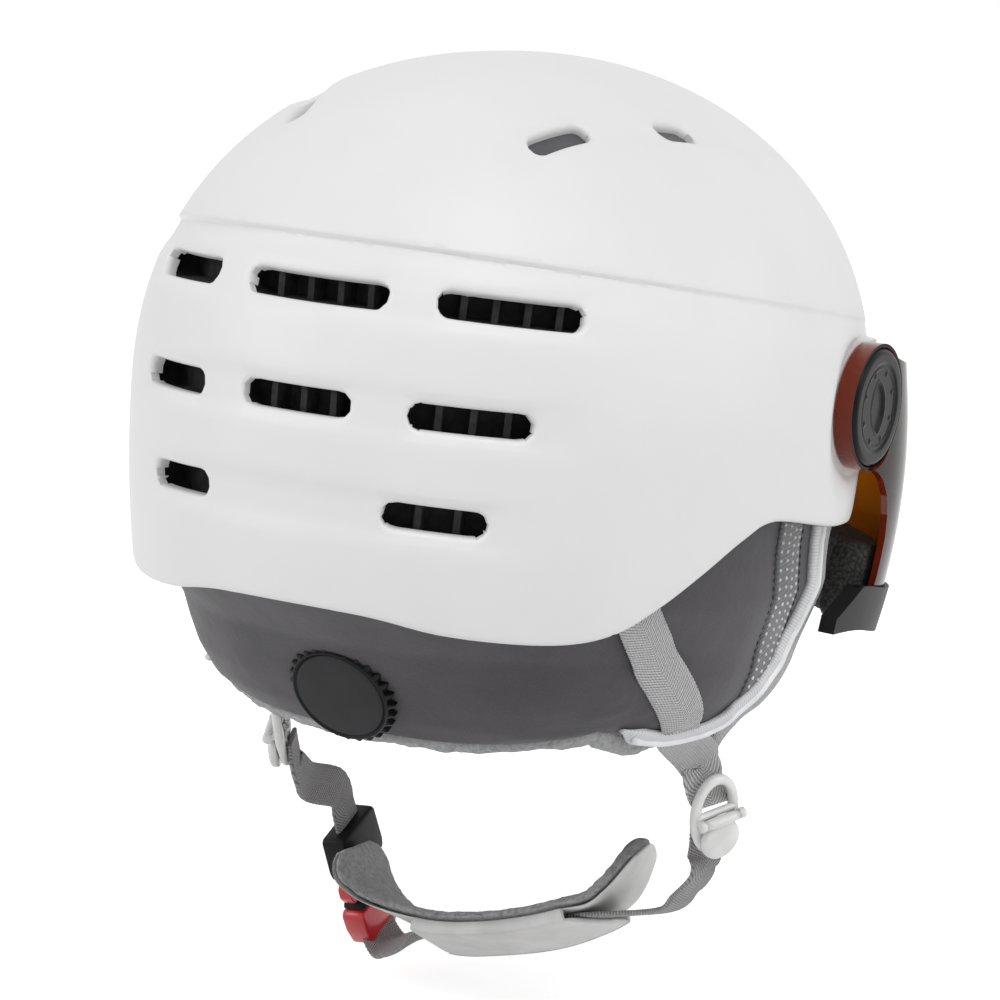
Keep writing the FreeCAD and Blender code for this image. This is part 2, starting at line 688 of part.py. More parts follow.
def make_hubs():
    seat = size("hub_seat")
    floor = seat + size("washer_thickness") + 0.1
    for side, word in SIDES:
        insert = cut("insert_" + word,
                     cylinder("insert_body_" + word, "sizes.screw_radius + 1.9", "9"),
                     cylinder("insert_bore_" + word, "sizes.screw_radius + 0.02", "12"))
        insert.Placement = hub_placement(side, seat - 9)
        keep(insert, "hub_insert_" + word)
        washer = cut("washer_" + word,
                     cylinder("washer_disc_" + word, "sizes.screw_radius + 9", "sizes.washer_thickness"),
                     cylinder("washer_bore_" + word, "sizes.screw_radius + 0.3", "4"))
        washer.Placement = hub_placement(side, seat)
        keep(washer, "hub_washer_" + word)
        head = cylinder("screw_head_" + word, "sizes.screw_head_radius", "1.4", Vec(0, 0, 10.7))
        shank = cylinder("screw_shank_" + word, "sizes.screw_radius", "10.8")
        screw = cut("screw_" + word, fuse("screw_solid_" + word, [shank, head]),
                    cylinder("screw_recess_" + word, "2", "3", Vec(0, 0, 11.2)))
        screw.Placement = hub_placement(side, floor + 2.1 - 10.7)
        keep(screw, "hub_screw_" + word)
        make_cap(side, word, floor + 2.0)


def outline_sketch(body, plane_role, corners):
    """A closed outline of straight lines whose corners are pairs of expressions of the sheet."""
    plane = [f for f in body.Origin.OriginFeatures if f.Role == plane_role][0]
    sketch = body.newObject("Sketcher::SketchObject", body.Name + "_outline")
    sketch.AttachmentSupport = [(plane, "")]
    sketch.MapMode = "FlatFace"
    count = len(corners)
    turn = 2 * math.pi / count
    spots = [Vec(10 * math.cos(i * turn) + 20, 10 * math.sin(i * turn) + 20, 0) for i in range(count)]
    for i in range(count):
        sketch.addGeometry(Part.LineSegment(spots[i], spots[(i + 1) % count]), False)
    for i in range(count):
        sketch.addConstraint(Sketcher.Constraint("Coincident", i, 2, (i + 1) % count, 1))
    for i, (across, up) in enumerate(corners):
        for kind, expression in (("DistanceX", across), ("DistanceY", up)):
            index = sketch.addConstraint(Sketcher.Constraint(kind, -1, 1, i, 1, 1.0))
            sketch.setExpression("Constraints[%d]" % index, expression)
    return sketch


def turned(name, corners):
    """A body turned about its local Z axis from pairs of radius and height."""
    body = doc.addObject("PartDesign::Body", name)
    sketch = outline_sketch(body, "XZ_Plane", corners)
    revolution = body.newObject("PartDesign::Revolution", name + "_turned")
    revolution.Profile = sketch
    revolution.ReferenceAxis = (sketch, ["V_Axis"])
    revolution.Angle = 360
    sketch.Visibility = False
    return body


def make_cap(side, word, base):
    """The black cap that snaps into the lens ring: a skirt, a face and a dished middle."""
    face = "sizes.cap_face - %g" % base
    body = turned("cap_" + word, [
        ("sizes.cap_radius - 1.8", "0.02"), ("sizes.cap_radius", "0.02"), ("sizes.cap_radius", face + " - 1.4"),
        ("sizes.cap_radius - 1.4", face), ("sizes.cap_radius - 4.2", face), ("sizes.cap_radius - 4.5", face + " - 0.5"),
        ("sizes.cap_radius - 11", face + " - 0.5"), ("0", face + " - 1.5"), ("0", face + " - 3.0"),
        ("sizes.cap_radius - 1.8", face + " - 2.5")])
    body.Placement = hub_placement(side, base)
    keep(body, "hub_cap_" + word)


# ---------------------------------------------------------------- fit dial

def make_dial():
    thick = "sizes.dial_thickness"
    body = turned("knob", [
        ("0", "-" + thick), ("sizes.dial_radius - 1", "-" + thick), ("sizes.dial_radius - 1", "-1.6"),
        ("sizes.dial_face_radius + 0.4", "-0.5"), ("sizes.dial_face_radius", "-0.8"),
        ("sizes.dial_face_radius - 1.2", "-0.3"), ("0", "0")])
    doc.recompute()
    plane = [f for f in body.Origin.OriginFeatures if f.Role == "XY_Plane"][0]
    tooth = body.newObject("Sketcher::SketchObject", "tooth_outline")
    tooth.AttachmentSupport = [(plane, "")]
    tooth.MapMode = "FlatFace"
    points = [Vec(15.5, -1.3, 0), Vec(18.0, -0.2, 0), Vec(17.4, 1.3, 0), Vec(15.5, 1.3, 0)]
    for i in range(4):
        tooth.addGeometry(Part.LineSegment(points[i], points[(i + 1) % 4]), False)
    for i in range(4):
        tooth.addConstraint(Sketcher.Constraint("Coincident", i, 2, (i + 1) % 4, 1))
    radii = ("sizes.dial_radius - 2.5", "sizes.dial_radius", "sizes.dial_radius - 0.7", "sizes.dial_radius - 2.5")
    heights = ("-1.3", "-0.3", "1.3", "1.3")
    for i in range(4):
        for kind, expression in (("DistanceX", radii[i]), ("DistanceY", heights[i])):
            index = tooth.addConstraint(Sketcher.Constraint(kind, -1, 1, i, 1, 1.0))
            tooth.setExpression("Constraints[%d]" % index, expression)
    pad = body.newObject("PartDesign::Pad", "tooth")
    pad.Profile = tooth
    pad.setExpression("Length", "sizes.dial_thickness - 2.2")
    pad.Reversed = True
    tooth.AttachmentOffset = FreeCAD.Placement(Vec(0, 0, -1.7), FreeCAD.Rotation())
    doc.recompute()
    pattern = body.newObject("PartDesign::PolarPattern", "teeth")
    pattern.Originals = [pad]
    pattern.Axis = (tooth, ["N_Axis"])
    pattern.Angle = 360
    pattern.setExpression("Occurrences", "sizes.dial_teeth")
    body.Tip = pattern
    body.Placement = dial_frame()
    keep(body, "dial_knob")


def gear_teeth(count, root, tip, low, high):
    """Narrow upright teeth round a shaft."""
    teeth = []
    for i in range(count):
        corners = [Vec(root, -0.6, low), Vec(tip, -0.4, low), Vec(tip, 0.4, low), Vec(root, 0.6, low)]
        tooth = prism(polyline(corners + corners[:1]), Vec(0, 0, high - low))
        tooth.rotate(Vec(0, 0, 0), Vec(0, 0, 1), 360.0 * i / count)
        teeth.append(tooth)
    return teeth


def rack_level():
    """Local heights of the fit bands behind the dial."""
    top = -size("dial_thickness") - 3.0
    return top - size("band_thickness"), top


def make_fit_drive():
    low, high = rack_level()
    root = size("pinion_radius") - size("tooth_height")
    tip = size("pinion_radius") + size("tooth_height")
    back = -size("dial_thickness")
    shaft = Part.makeCylinder(root, back - low - 0.0, Vec(0, 0, low))
    shaft = shaft.fuse(gear_teeth(int(size("pinion_teeth")), root - 0.3, tip, low, high))
    feature("dial_pinion", in_dial_frame(shaft.removeSplitter()))
    pitch = 2 * math.pi * size("pinion_radius") / size("pinion_teeth")
    for side, word in SIDES:
        edge = size("pinion_radius") + size("tooth_height") + 0.35
        strip = Part.makeBox(size("band_length"), size("band_width"), high - low, Vec(-9.5, edge, low))
        teeth = []
        for i in range(int((9.5 + 12) / pitch) + 1):
            x = -9.5 + 1.4 + i * pitch
            x = (math.floor(x / pitch) + 0.5) * pitch
            corners = [Vec(x - 0.6, edge + 0.2, low), Vec(x - 0.4, edge - 1.4, low),
                       Vec(x + 0.4, edge - 1.4, low), Vec(x + 0.6, edge + 0.2, low)]
            teeth.append(prism(polyline(corners + corners[:1]), Vec(0, 0, high - low)))
        band = strip.fuse(teeth).removeSplitter()
        if side == RIGHT:
            band.rotate(Vec(0, 0, 0), Vec(0, 0, 1), 180)
        feature("fit_band_" + word, in_dial_frame(band))
    box = Part.makeBox(62, 25, 7.4, Vec(-31, -12.5, back - 7.9))
    channel = Part.makeBox(70, 22.4, high - low + 0.5, Vec(-35, -11.2, low - 0.25))
    well = Part.makeCylinder(tip + 0.5, 20, Vec(0, 0, low - 0.6))
    feature("dial_housing", in_dial_frame(box.cut(channel).cut(well)))


# ---------------------------------------------------------------- straps

def ribbon_lines(points, across, widths, depth):
    """Lines of points across a flat strap, each line square to the path and moved by depth."""
    lines = []
    for i, point in enumerate(points):
        path = (points[min(i + 1, len(points) - 1)] - points[max(i - 1, 0)]).normalize()
        wide = (across[i] - path * across[i].dot(path)).normalize()
        normal = path.cross(wide)
        lines.append([point + wide * (widths[i] / 2 * s) + normal * depth for s in (-1, -0.5, 0, 0.5, 1)])
    return lines


def laid_lines(side, route, across, width, inset):
    """The same lines for a strap that lies on the ear pad; route and across are (y, z) pairs."""
    lines = []
    for (y, z), (wide_y, wide_z) in zip(route, across):
        lines.append([ear_point(side, y + wide_y * width / 2 * s, z + wide_z * width / 2 * s, -inset)
                      for s in (-1, -0.5, 0, 0.5, 1)])
    return lines


def divider_placement(side):
    """Local X along the bar, Y up the straps, Z out of the divider's face."""
    up = Vec(side * 0.08, 0.27, 0.96).normalize()
    out = Vec(side * 0.9, 0.40, 0.0)
    out = (out - up * out.dot(up)).normalize()
    place = Vec(side * size("divider_x"), size("divider_y"), size("divider_z"))
    return FreeCAD.Placement(place, FreeCAD.Rotation(up.cross(out), up, out, "ZXY"))


def at_divider(side, x, y, z):
    return divider_placement(side).multVec(Vec(x, y, z))


REAR_ROUTE = ((66.5, -8.5), (61.0, -15.5), (51.5, -24.5), (40.5, -35.5), (28.5, -47.0), (18.5, -56.5))
FRONT_ROUTE = ((-40.0, 6.0), (-38.0, -7.0), (-36.5, -20.0), (-33.0, -32.0), (-27.0, -45.0), (-20.5, -57.0))


def make_straps():
    wide, thick, gap = size("webbing_width"), size("webbing_thickness"), size("fit_gap")
    back = -size("divider_thickness") / 2 - gap - thick / 2
    for side, word in SIDES:
        rear_across = [(-0.62, 0.78), (-0.62, 0.78), (-0.66, 0.75), (-0.68, 0.73), (-0.76, 0.65), (-0.8, 0.6)]
        tail = [at_divider(side, 3 * side, y, back + shift)
                for y, shift in ((19.5, -2.0), (12.5, 0), (6.5, 0), (1.5, 0))]
        tail_across = [at_divider(side, -1 * side, 0, 0) - at_divider(side, 0, 0, 0)] * len(tail)
        grids = []
        for inset, depth in ((gap + thick, thick / 2), (gap, -thick / 2)):
            free = ribbon_lines(tail, tail_across, [wide * 0.94] * len(tail), -depth * side)
            grids.append(laid_lines(side, REAR_ROUTE, rear_across, wide, inset) + free)
        feature("rear_strap_" + word, plate(*grids))
        narrow = wide * 0.7
        front_across = [(-1, -0.1), (-1, -0.05), (-1, 0.1), (-0.97, 0.2), (-0.95, 0.3), (-0.93, 0.36)]
        tail = [at_divider(side, -3.5 * side, y, back - 1.2 - thick + shift)
                for y, shift in ((19.5, -3.0), (12.5, 0), (6.5, 0))]
        grids = []
        for inset, depth in ((gap + thick, thick / 2), (gap, -thick / 2)):
            free = ribbon_lines(tail, tail_across, [narrow] * len(tail), -depth * side)
            grids.append(laid_lines(side, FRONT_ROUTE, front_across, narrow, inset) + free)
        feature("front_strap_" + word, plate(*grids))
    make_anchors()


def make_anchors():
    """Short anchors that hold the strap ends to the inside of the shell."""
    skin = dome(lambda phi, z: size("shell_wall") + size("fit_gap"))
    anchors = []
    for side, _ in SIDES:
        for (y, z), (wide_y, wide_z) in ((REAR_ROUTE[0], (0, 0)), (FRONT_ROUTE[0], (0, 0))):
            start = ear_point(side, y, z, -size("webbing_thickness") - 4 * size("fit_gap"))
            anchors.append(Part.makeCylinder(size("anchor_radius"), 30, start, Vec(side, 0, 0)).common(skin))
    feature("strap_anchors", Part.makeCompound([a.Solids[0] for a in anchors]))


def make_dividers():
    """Strap dividers: a ring, a cam lid over its lower half and the lid's pin."""
    for side, word in SIDES:
        top = cylinder("ring_top_" + word, "sizes.divider_width / 2", "sizes.divider_thickness", Vec(0, 3.5, 0))
        low = cylinder("ring_low_" + word, "sizes.divider_width / 2 - 2", "sizes.divider_thickness", Vec(0, -5.5, 0))
        window = doc.addObject("Part::Box", "window_" + word)
        window.setExpression("Length", "sizes.divider_width - 7")
        window.Width = 8
        window.Height = 20
        window.setExpression("Placement.Base.x", "-(sizes.divider_width - 7) / 2")
        window.setExpression("Placement.Base.y", "1.5")
        window.setExpression("Placement.Base.z", "-5")
        ears = []
        for i, start in enumerate(("-8.9", "6.9")):
            ear = doc.addObject("Part::Box", "pin_ear_%s_%d" % (word, i))
            ear.Length = 2
            ear.Width = 3.6
            ear.setExpression("Height", "sizes.pin_radius + 4.1 - 0.4")
            ear.setExpression("Placement.Base.x", start)
            ear.setExpression("Placement.Base.y", "-2.0")
            ear.setExpression("Placement.Base.z", "sizes.divider_thickness - 0.5")
            ears.append(ear)
        solid = fuse("divider_solid_" + word, [top, low] + ears)
        ring = cut("divider_ring_" + word, solid, window)
        bore = cylinder("pin_bore_" + word, "sizes.pin_radius + 0.01", "40")
        bore.Placement = FreeCAD.Placement(Vec(-20, -0.4, size("divider_thickness") + 2.3),
                                           FreeCAD.Rotation(Vec(0, 1, 0), 90))
        body = cut("divider_" + word, ring, bore)
        frame = divider_placement(side).multiply(
            FreeCAD.Placement(Vec(0, 0, -size("divider_thickness") / 2), FreeCAD.Rotation()))
        body.Placement = frame
        keep(body, "divider_" + word)
        pin = cylinder("lid_pin_" + word, "sizes.pin_radius", "17.8")
        pin.Placement = frame.multiply(FreeCAD.Placement(Vec(-8.9, -0.4, size("divider_thickness") + 2.3),
                                                         FreeCAD.Rotation(Vec(0, 1, 0), 90)))
        keep(pin, "lid_pin_" + word)
        lid = cylinder("lid_plate_" + word, "sizes.lid_radius", "sizes.lid_thickness", Vec(0, -6.8, size("divider_thickness") + 0.4))
        knuckle = cylinder("lid_knuckle_" + word, "1.9", "13.2")
        knuckle.Placement = FreeCAD.Placement(Vec(-6.6, -0.4, size("divider_thickness") + 2.3),
                                              FreeCAD.Rotation(Vec(0, 1, 0), 90))
        trim = doc.addObject("Part::Box", "lid_trim_" + word)
        trim.Length, trim.Width, trim.Height = 30, 20, 20
        trim.Placement = FreeCAD.Placement(Vec(-15, -0.4, size("divider_thickness") - 5), FreeCAD.Rotation())
        hole = cylinder("lid_bore_" + word, "sizes.pin_radius + sizes.running_fit", "40")
        hole.Placement = bore.Placement
        lid_body = cut("lid_" + word, fuse("lid_solid_" + word, [cut("lid_front_" + word, lid, trim), knuckle]), hole)
        lid_body.Placement = frame
        keep(lid_body, "cam_lid_" + word)


# ---------------------------------------------------------------- chin pad and buckle

# Middle of the chin pad from the wearer's left end to the right, its half width and its across vector.
CHIN_LINE = (((63, -46, -131), 19, (0, 0.97, 0.2)), ((57, -46, -141), 20, (0, 0.96, 0.25)),
             ((45, -46, -148), 17, (0, 0.93, 0.36)), ((28, -44, -149.5), 13.5, (0, 0.88, 0.48)),
             ((10, -42.5, -146), 12.5, (0, 0.88, 0.48)), ((-7.5, -41, -140.5), 12.5, (0, 0.88, 0.48)),
             ((-22, -38, -133.5), 13.0, (0, 0.9, 0.43)), ((-33.5, -34.5, -125.5), 15.5, (0, 0.95, 0.3)),
             ((-40, -32, -116), 17.5, (-0.05, 0.98, 0.1)), ((-43.5, -30.5, -107.5), 15.5, (-0.1, 0.99, 0.0)))


DRAWN_HALF_WIDTH = 109.0


def beside(x, y, z):
    """A point under the chin, placed across the helmet in step with the shell's width."""
    return Vec(x * size("half_width") / DRAWN_HALF_WIDTH, y, z)


def chin_layer(first, last, near, far, trim=0.0, width=None):
    line = CHIN_LINE[first:last]
    points = [beside(*point) for point, _, _ in line]
    across = [Vec(*wide) for _, _, wide in line]
    widths = [width or 2 * (half - trim) for _, half, _ in line]
    return [ribbon_lines(points, across, widths, depth) for depth in (near, far)]


def chin_levels():
    """Depths of the layers under the chin: fleece, backing, webbing and sleeve."""
    gap, thick = size("fit_gap"), size("webbing_thickness")
    fleece = size("chin_fleece")
    backing = fleece + gap
    webbing = backing + size("chin_backing") + gap
    sleeve = webbing + thick + 4 * gap
    return fleece, backing, webbing, sleeve


def make_chin():
    thick = size("webbing_thickness")
    fleece, backing, webbing, sleeve = chin_levels()
    feature("chin_fleece", plate(*chin_layer(0, 10, 0, fleece)))
    feature("chin_backing", plate(*chin_layer(0, 10, backing, backing + size("chin_backing"), 0.6)))
    feature("chin_sleeve", plate(*chin_layer(3, 8, sleeve, sleeve + size("chin_sleeve"), 0.4)))
    wide = size("webbing_width")
    start = [at_divider(RIGHT, 0, y, -size("divider_thickness") / 2 - size("fit_gap") - thick / 2 - shift)
             for y, shift in ((-4, 0), (-10, 0), (-16, 0.6))]
    middle = [beside(-74.5, -20, -109), beside(-68, -24, -117.5), beside(-58.5, -28.5, -126)]
    end = [beside(41, -49, -161), beside(53, -59, -168), beside(64, -70, -173.5)]
    divider_across = at_divider(RIGHT, 1, 0, 0) - at_divider(RIGHT, 0, 0, 0)
    grids = []
    for near, side_depth in ((webbing, thick / 2), (webbing + thick, -thick / 2)):
        lines = ribbon_lines(end[::-1] + [beside(28, -44, -158.0)], [Vec(0.2, 0.9, -0.4)] * 2 + [Vec(0, 0.9, 0.4)] * 2,
                             [wide] * 4, -side_depth)[:3]
        lines += ribbon_lines([beside(*p) for p, _, _ in CHIN_LINE[3:8]], [Vec(*w) for _, _, w in CHIN_LINE[3:8]],
                              [wide] * 5, near)
        free = middle[::-1] + start[::-1]
        lines += ribbon_lines(free, [Vec(0, 0.95, 0.2)] * 3 + [divider_across] * 3, [wide] * 6, -side_depth)
        grids.append(lines)
    feature("chin_webbing", plate(*grids))
    start = [at_divider(LEFT, 0, y, -size("divider_thickness") / 2 - size("fit_gap") - thick / 2 - shift)
             for y, shift in ((-4, 0), (-10, 0), (-16, 0.6))]
    left_across = at_divider(LEFT, 1, 0, 0) - at_divider(LEFT, 0, 0, 0)
    path = start + [beside(77.5, -34, -110)] + [buckle_placement().multVec(Vec(0, 0, z)) for z in (14, 6, 2, -2)]
    across = [left_across] * 3 + [Vec(0, 0.95, -0.3)] * 5
    widths = [wide] * len(path)
    feature("buckle_webbing", plate(ribbon_lines(path, across, widths, -thick / 2),
                                    ribbon_lines(path, across, widths, thick / 2)))


def buckle_placement():
    """Local Z up the buckle from its top edge, X across it and Y outwards."""
    top, foot = beside(75.5, -58, -128), beside(71, -78, -171)
    up = (top - foot).normalize()
    wide = Vec(0, -1, 0)
    wide = (wide - up * wide.dot(up)).normalize()
    return FreeCAD.Placement(top, FreeCAD.Rotation(wide, up.cross(wide), up, "ZXY"))


def box(name, length, width, height, corner):
    """A Part box with expressions for its sizes and its lowest corner."""
    obj = doc.addObject("Part::Box", name)
    for key, expression in zip(("Length", "Width", "Height"), (length, width, height)):
        obj.setExpression(key, expression)
    for key, expression in zip("xyz", corner):
        obj.setExpression("Placement.Base." + key, expression)
    return obj


def make_buckle():
    """Side-release buckle: a socket, a plug with a tongue and two sprung prongs."""
    wide, thick, tall = "sizes.buckle_width", "sizes.buckle_thickness", "sizes.buckle_length"
    frame = buckle_placement()
    shell = box("socket_block", wide, thick, tall, ("-%s / 2" % wide, "-%s / 2" % thick, "-" + tall))
    cavity = box("socket_cavity", wide + " - 3", thick + " - 3", tall + " - 7",
                 ("-(%s - 3) / 2" % wide, "-(%s - 3) / 2" % thick, "-%s - 1" % tall))
    window = box("socket_window", wide + " + 4", thick + " - 3", "10",
                 ("-%s / 2 - 2" % wide, "-(%s - 3) / 2" % thick, "-%s + 6" % tall))
    slot_cut = box("webbing_slot", "sizes.webbing_width + 1", "sizes.webbing_thickness + 1.4", "5",
                   ("-(sizes.webbing_width + 1) / 2", "-(sizes.webbing_thickness + 1.4) / 2", "-4"))
    socket = cut("socket", cut("socket_a", cut("socket_b", shell, cavity), window), slot_cut)
    socket.Placement = frame
    keep(socket, "buckle_socket")
    gap = size("fit_gap")
    base_top = "-%s - %g" % (tall, gap)
    base = box("plug_base", wide, thick, "16", ("-%s / 2" % wide, "-%s / 2" % thick, base_top + " - 16"))
    tongue = box("plug_tongue", "5", thick + " - 3.8", "20",
                 ("-2.5", "-(%s - 3.8) / 2" % thick, base_top + " - 1"))
    slot_low = box("plug_slot", "sizes.webbing_width + 1", thick + " + 4", "3.4",
                   ("-(sizes.webbing_width + 1) / 2", "-%s / 2 - 2" % thick, base_top + " - 13"))
    plug = cut("plug", fuse("plug_solid", [base, tongue]), slot_low)
    plug.Placement = frame
    keep(plug, "buckle_plug")
    for hand, word in ((-1, "rear"), (1, "front")):
        inner = "6.2" if hand > 0 else "-10.2"
        stem = box("prong_stem_" + word, "4", thick + " - 3.8", "19",
                   (inner, "-(%s - 3.8) / 2" % thick, "-%s" % tall))
        outer = "9" if hand > 0 else "-%s / 2 - 1" % wide
        bulge = box("prong_bulge_" + word, "%s / 2 + 1 - 9" % wide, thick + " - 3.8", "9",
                    (outer, "-(%s - 3.8) / 2" % thick, "-%s + 6.5" % tall))
        prong = fuse("prong_" + word, [stem, bulge])
        prong.Placement = frame
        keep(prong, "buckle_prong_" + word)


rim_space = below_rim()
make_shell(rim_space)
make_liner(rim_space)
make_comfort_pads()
make_neck()
make_ears()
make_lens()
make_visor_trim()
make_hubs()
make_dial()
make_fit_drive()
make_straps()
make_dividers()
make_chin()
make_buckle()

doc.recompute()


def faults():
    """Every failed object and every sub-part without a sound shape."""
    found = [obj.Name for obj in doc.Objects if "Invalid" in obj.State or "Error" in obj.State]
    for obj in parts:
        shape = obj.Shape
        if shape.isNull() or not shape.isValid() or shape.Volume <= 0:
            found.append(obj.Label)
    return found


problems = faults()
if problems:
    raise RuntimeError("failed: " + ", ".join(problems))
os.makedirs("parts", exist_ok=True)
for part in parts:
    part.Shape.exportStep("parts/%s.step" % part.Label)
print(len(parts), "sub-parts written")
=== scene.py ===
"""Ski helmet with a hinged face shield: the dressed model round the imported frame.

Lengths are in mm until a mesh is made."""
import json
import math

import bmesh
import bpy
import numpy as np
from mathutils import Matrix, Vector, noise


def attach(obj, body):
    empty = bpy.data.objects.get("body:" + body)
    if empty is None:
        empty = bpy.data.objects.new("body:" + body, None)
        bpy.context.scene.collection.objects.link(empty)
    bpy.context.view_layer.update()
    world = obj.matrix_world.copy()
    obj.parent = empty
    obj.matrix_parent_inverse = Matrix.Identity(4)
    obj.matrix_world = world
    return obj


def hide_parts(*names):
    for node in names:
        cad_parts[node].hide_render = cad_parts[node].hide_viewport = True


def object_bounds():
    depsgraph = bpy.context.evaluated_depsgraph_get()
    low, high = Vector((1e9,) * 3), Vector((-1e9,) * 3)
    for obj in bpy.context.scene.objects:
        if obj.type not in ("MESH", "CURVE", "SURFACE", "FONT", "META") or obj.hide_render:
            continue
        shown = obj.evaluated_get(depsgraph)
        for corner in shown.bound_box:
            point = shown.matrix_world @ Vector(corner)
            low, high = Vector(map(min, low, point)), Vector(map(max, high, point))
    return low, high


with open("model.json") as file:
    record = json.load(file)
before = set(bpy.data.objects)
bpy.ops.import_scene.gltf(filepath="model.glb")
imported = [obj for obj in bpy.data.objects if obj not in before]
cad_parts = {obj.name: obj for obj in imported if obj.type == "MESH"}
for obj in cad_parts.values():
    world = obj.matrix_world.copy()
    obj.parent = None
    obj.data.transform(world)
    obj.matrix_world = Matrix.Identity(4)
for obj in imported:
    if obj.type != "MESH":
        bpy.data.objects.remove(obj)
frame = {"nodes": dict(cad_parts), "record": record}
CAD_BOX = [[float(v) for v in corner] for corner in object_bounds()]
MM = 0.001
LEFT, RIGHT = 1, -1
SIDES = ((RIGHT, "right"), (LEFT, "left"))
scene = bpy.context.scene
nodes = frame["nodes"]


# ---------------------------------------------------------------- camera, light and floor

def camera():
    data = bpy.data.cameras.new("camera")
    obj = bpy.data.objects.new("camera", data)
    scene.collection.objects.link(obj)
    right = Vector((-0.8809, -0.4663, 0.0821)).normalized()
    back = Vector((-0.4492, 0.8779, 0.1660)).normalized()
    back = (back - right * right.dot(back)).normalized()
    up = back.cross(right)
    turn = Matrix((right, up, back)).transposed().to_4x4()
    turn.translation = Vector((-580.6, 1130.0, 215.9)) * MM
    obj.matrix_world = turn
    data.sensor_width = 36.0
    data.lens = 147.0
    data.clip_start, data.clip_end = 0.05, 50
    scene.camera = obj


def area_light(name, place, target, size, power, size_y=None):
    data = bpy.data.lights.new(name, "AREA")
    data.shape = "RECTANGLE"
    data.size, data.size_y = size, size_y or size
    data.energy = power
    obj = bpy.data.objects.new(name, data)
    scene.collection.objects.link(obj)
    obj.location = place
    obj.rotation_euler = (Vector(target) - Vector(place)).to_track_quat("-Z", "Y").to_euler()


def new_material(name, colour=(0.8, 0.8, 0.8), rough=0.5, **settings):
    """A material with its Principled shader and the constants set on the shader's own sockets."""
    mat = bpy.data.materials.new(name)
    mat.use_nodes = True
    shader = mat.node_tree.nodes["Principled BSDF"]
    shader.inputs["Base Color"].default_value = (*colour, 1)
    shader.inputs["Roughness"].default_value = rough
    for key, value in settings.items():
        shader.inputs[key.replace("_", " ")].default_value = value
    return mat, mat.node_tree, shader


def node(tree, kind, **values):
    made = tree.nodes.new(kind)
    for key, value in values.items():
        if key in made.inputs.keys():
            made.inputs[key].default_value = value
        else:
            setattr(made, key, value)
    return made


def link(tree, a, b):
    tree.links.new(a, b)


def colour_ramp(tree, factor, stops):
    ramp = tree.nodes.new("ShaderNodeValToRGB")
    elements = ramp.color_ramp.elements
    while len(elements) < len(stops):
        elements.new(0.5)
    for element, (place, colour) in zip(elements, stops):
        element.position = place
        element.color = (*colour, 1)
    link(tree, factor, ramp.inputs["Fac"])
    return ramp.outputs["Color"]


def value_noise(tree, scale, detail=2.0, rough=0.5, stretch=None):
    coord = tree.nodes.new("ShaderNodeTexCoord").outputs["Object"]
    if stretch:
        mapping = tree.nodes.new("ShaderNodeMapping")
        mapping.inputs["Scale"].default_value = stretch
        link(tree, coord, mapping.inputs["Vector"])
        coord = mapping.outputs["Vector"]
    tex = node(tree, "ShaderNodeTexNoise", Scale=scale, Detail=detail, Roughness=rough)
    link(tree, coord, tex.inputs["Vector"])
    return tex.outputs["Fac"]


def add_bump(tree, shader, height, strength, distance, after=None):
    bump = node(tree, "ShaderNodeBump", Strength=strength, Distance=distance)
    link(tree, height, bump.inputs["Height"])
    if after:
        link(tree, after, bump.inputs["Normal"])
    link(tree, bump.outputs["Normal"], shader.inputs["Normal"])
    return bump.outputs["Normal"]


def maths(tree, operation, a, b=None):
    made = tree.nodes.new("ShaderNodeMath")
    made.operation = operation
    for socket, value in zip(made.inputs, (a, b)):
        if value is None:
            continue
        if isinstance(value, (int, float)):
            socket.default_value = value
        else:
            link(tree, value, socket)
    return made.outputs[0]


def tint(tree, shader, value, stops):
    """Colour the shader by a value, from one stop to the next."""
    link(tree, colour_ramp(tree, value, stops), shader.inputs["Base Color"])


def vary_roughness(tree, shader, value, low, span):
    link(tree, maths(tree, "ADD", low, maths(tree, "MULTIPLY", value, span)), shader.inputs["Roughness"])


def weighted(tree, one, share, other, rest):
    return maths(tree, "ADD", maths(tree, "MULTIPLY", one, share), maths(tree, "MULTIPLY", other, rest))


def ridges(tree, along, pitch):
    """Rounded ridges, one each pitch, as the size of a sine."""
    return maths(tree, "ABSOLUTE", maths(tree, "SINE", maths(tree, "MULTIPLY", along, math.pi / pitch)))


def weave_place(tree):
    """Where a point lies across and along its strap, in mm."""
    uv = tree.nodes.new("ShaderNodeUVMap")
    uv.uv_map = "weave"
    split = tree.nodes.new("ShaderNodeSeparateXYZ")
    link(tree, uv.outputs[0], split.inputs[0])
    return split.outputs[0], split.outputs[1]


def seen_share(tree):
    """One for a ray that is seen: straight on, in a reflection or through glass."""
    path = tree.nodes.new("ShaderNodeLightPath")
    mirrored = maths(tree, "MAXIMUM", path.outputs["Is Glossy Ray"], path.outputs["Is Transmission Ray"])
    return maths(tree, "MAXIMUM", path.outputs["Is Camera Ray"], mirrored)


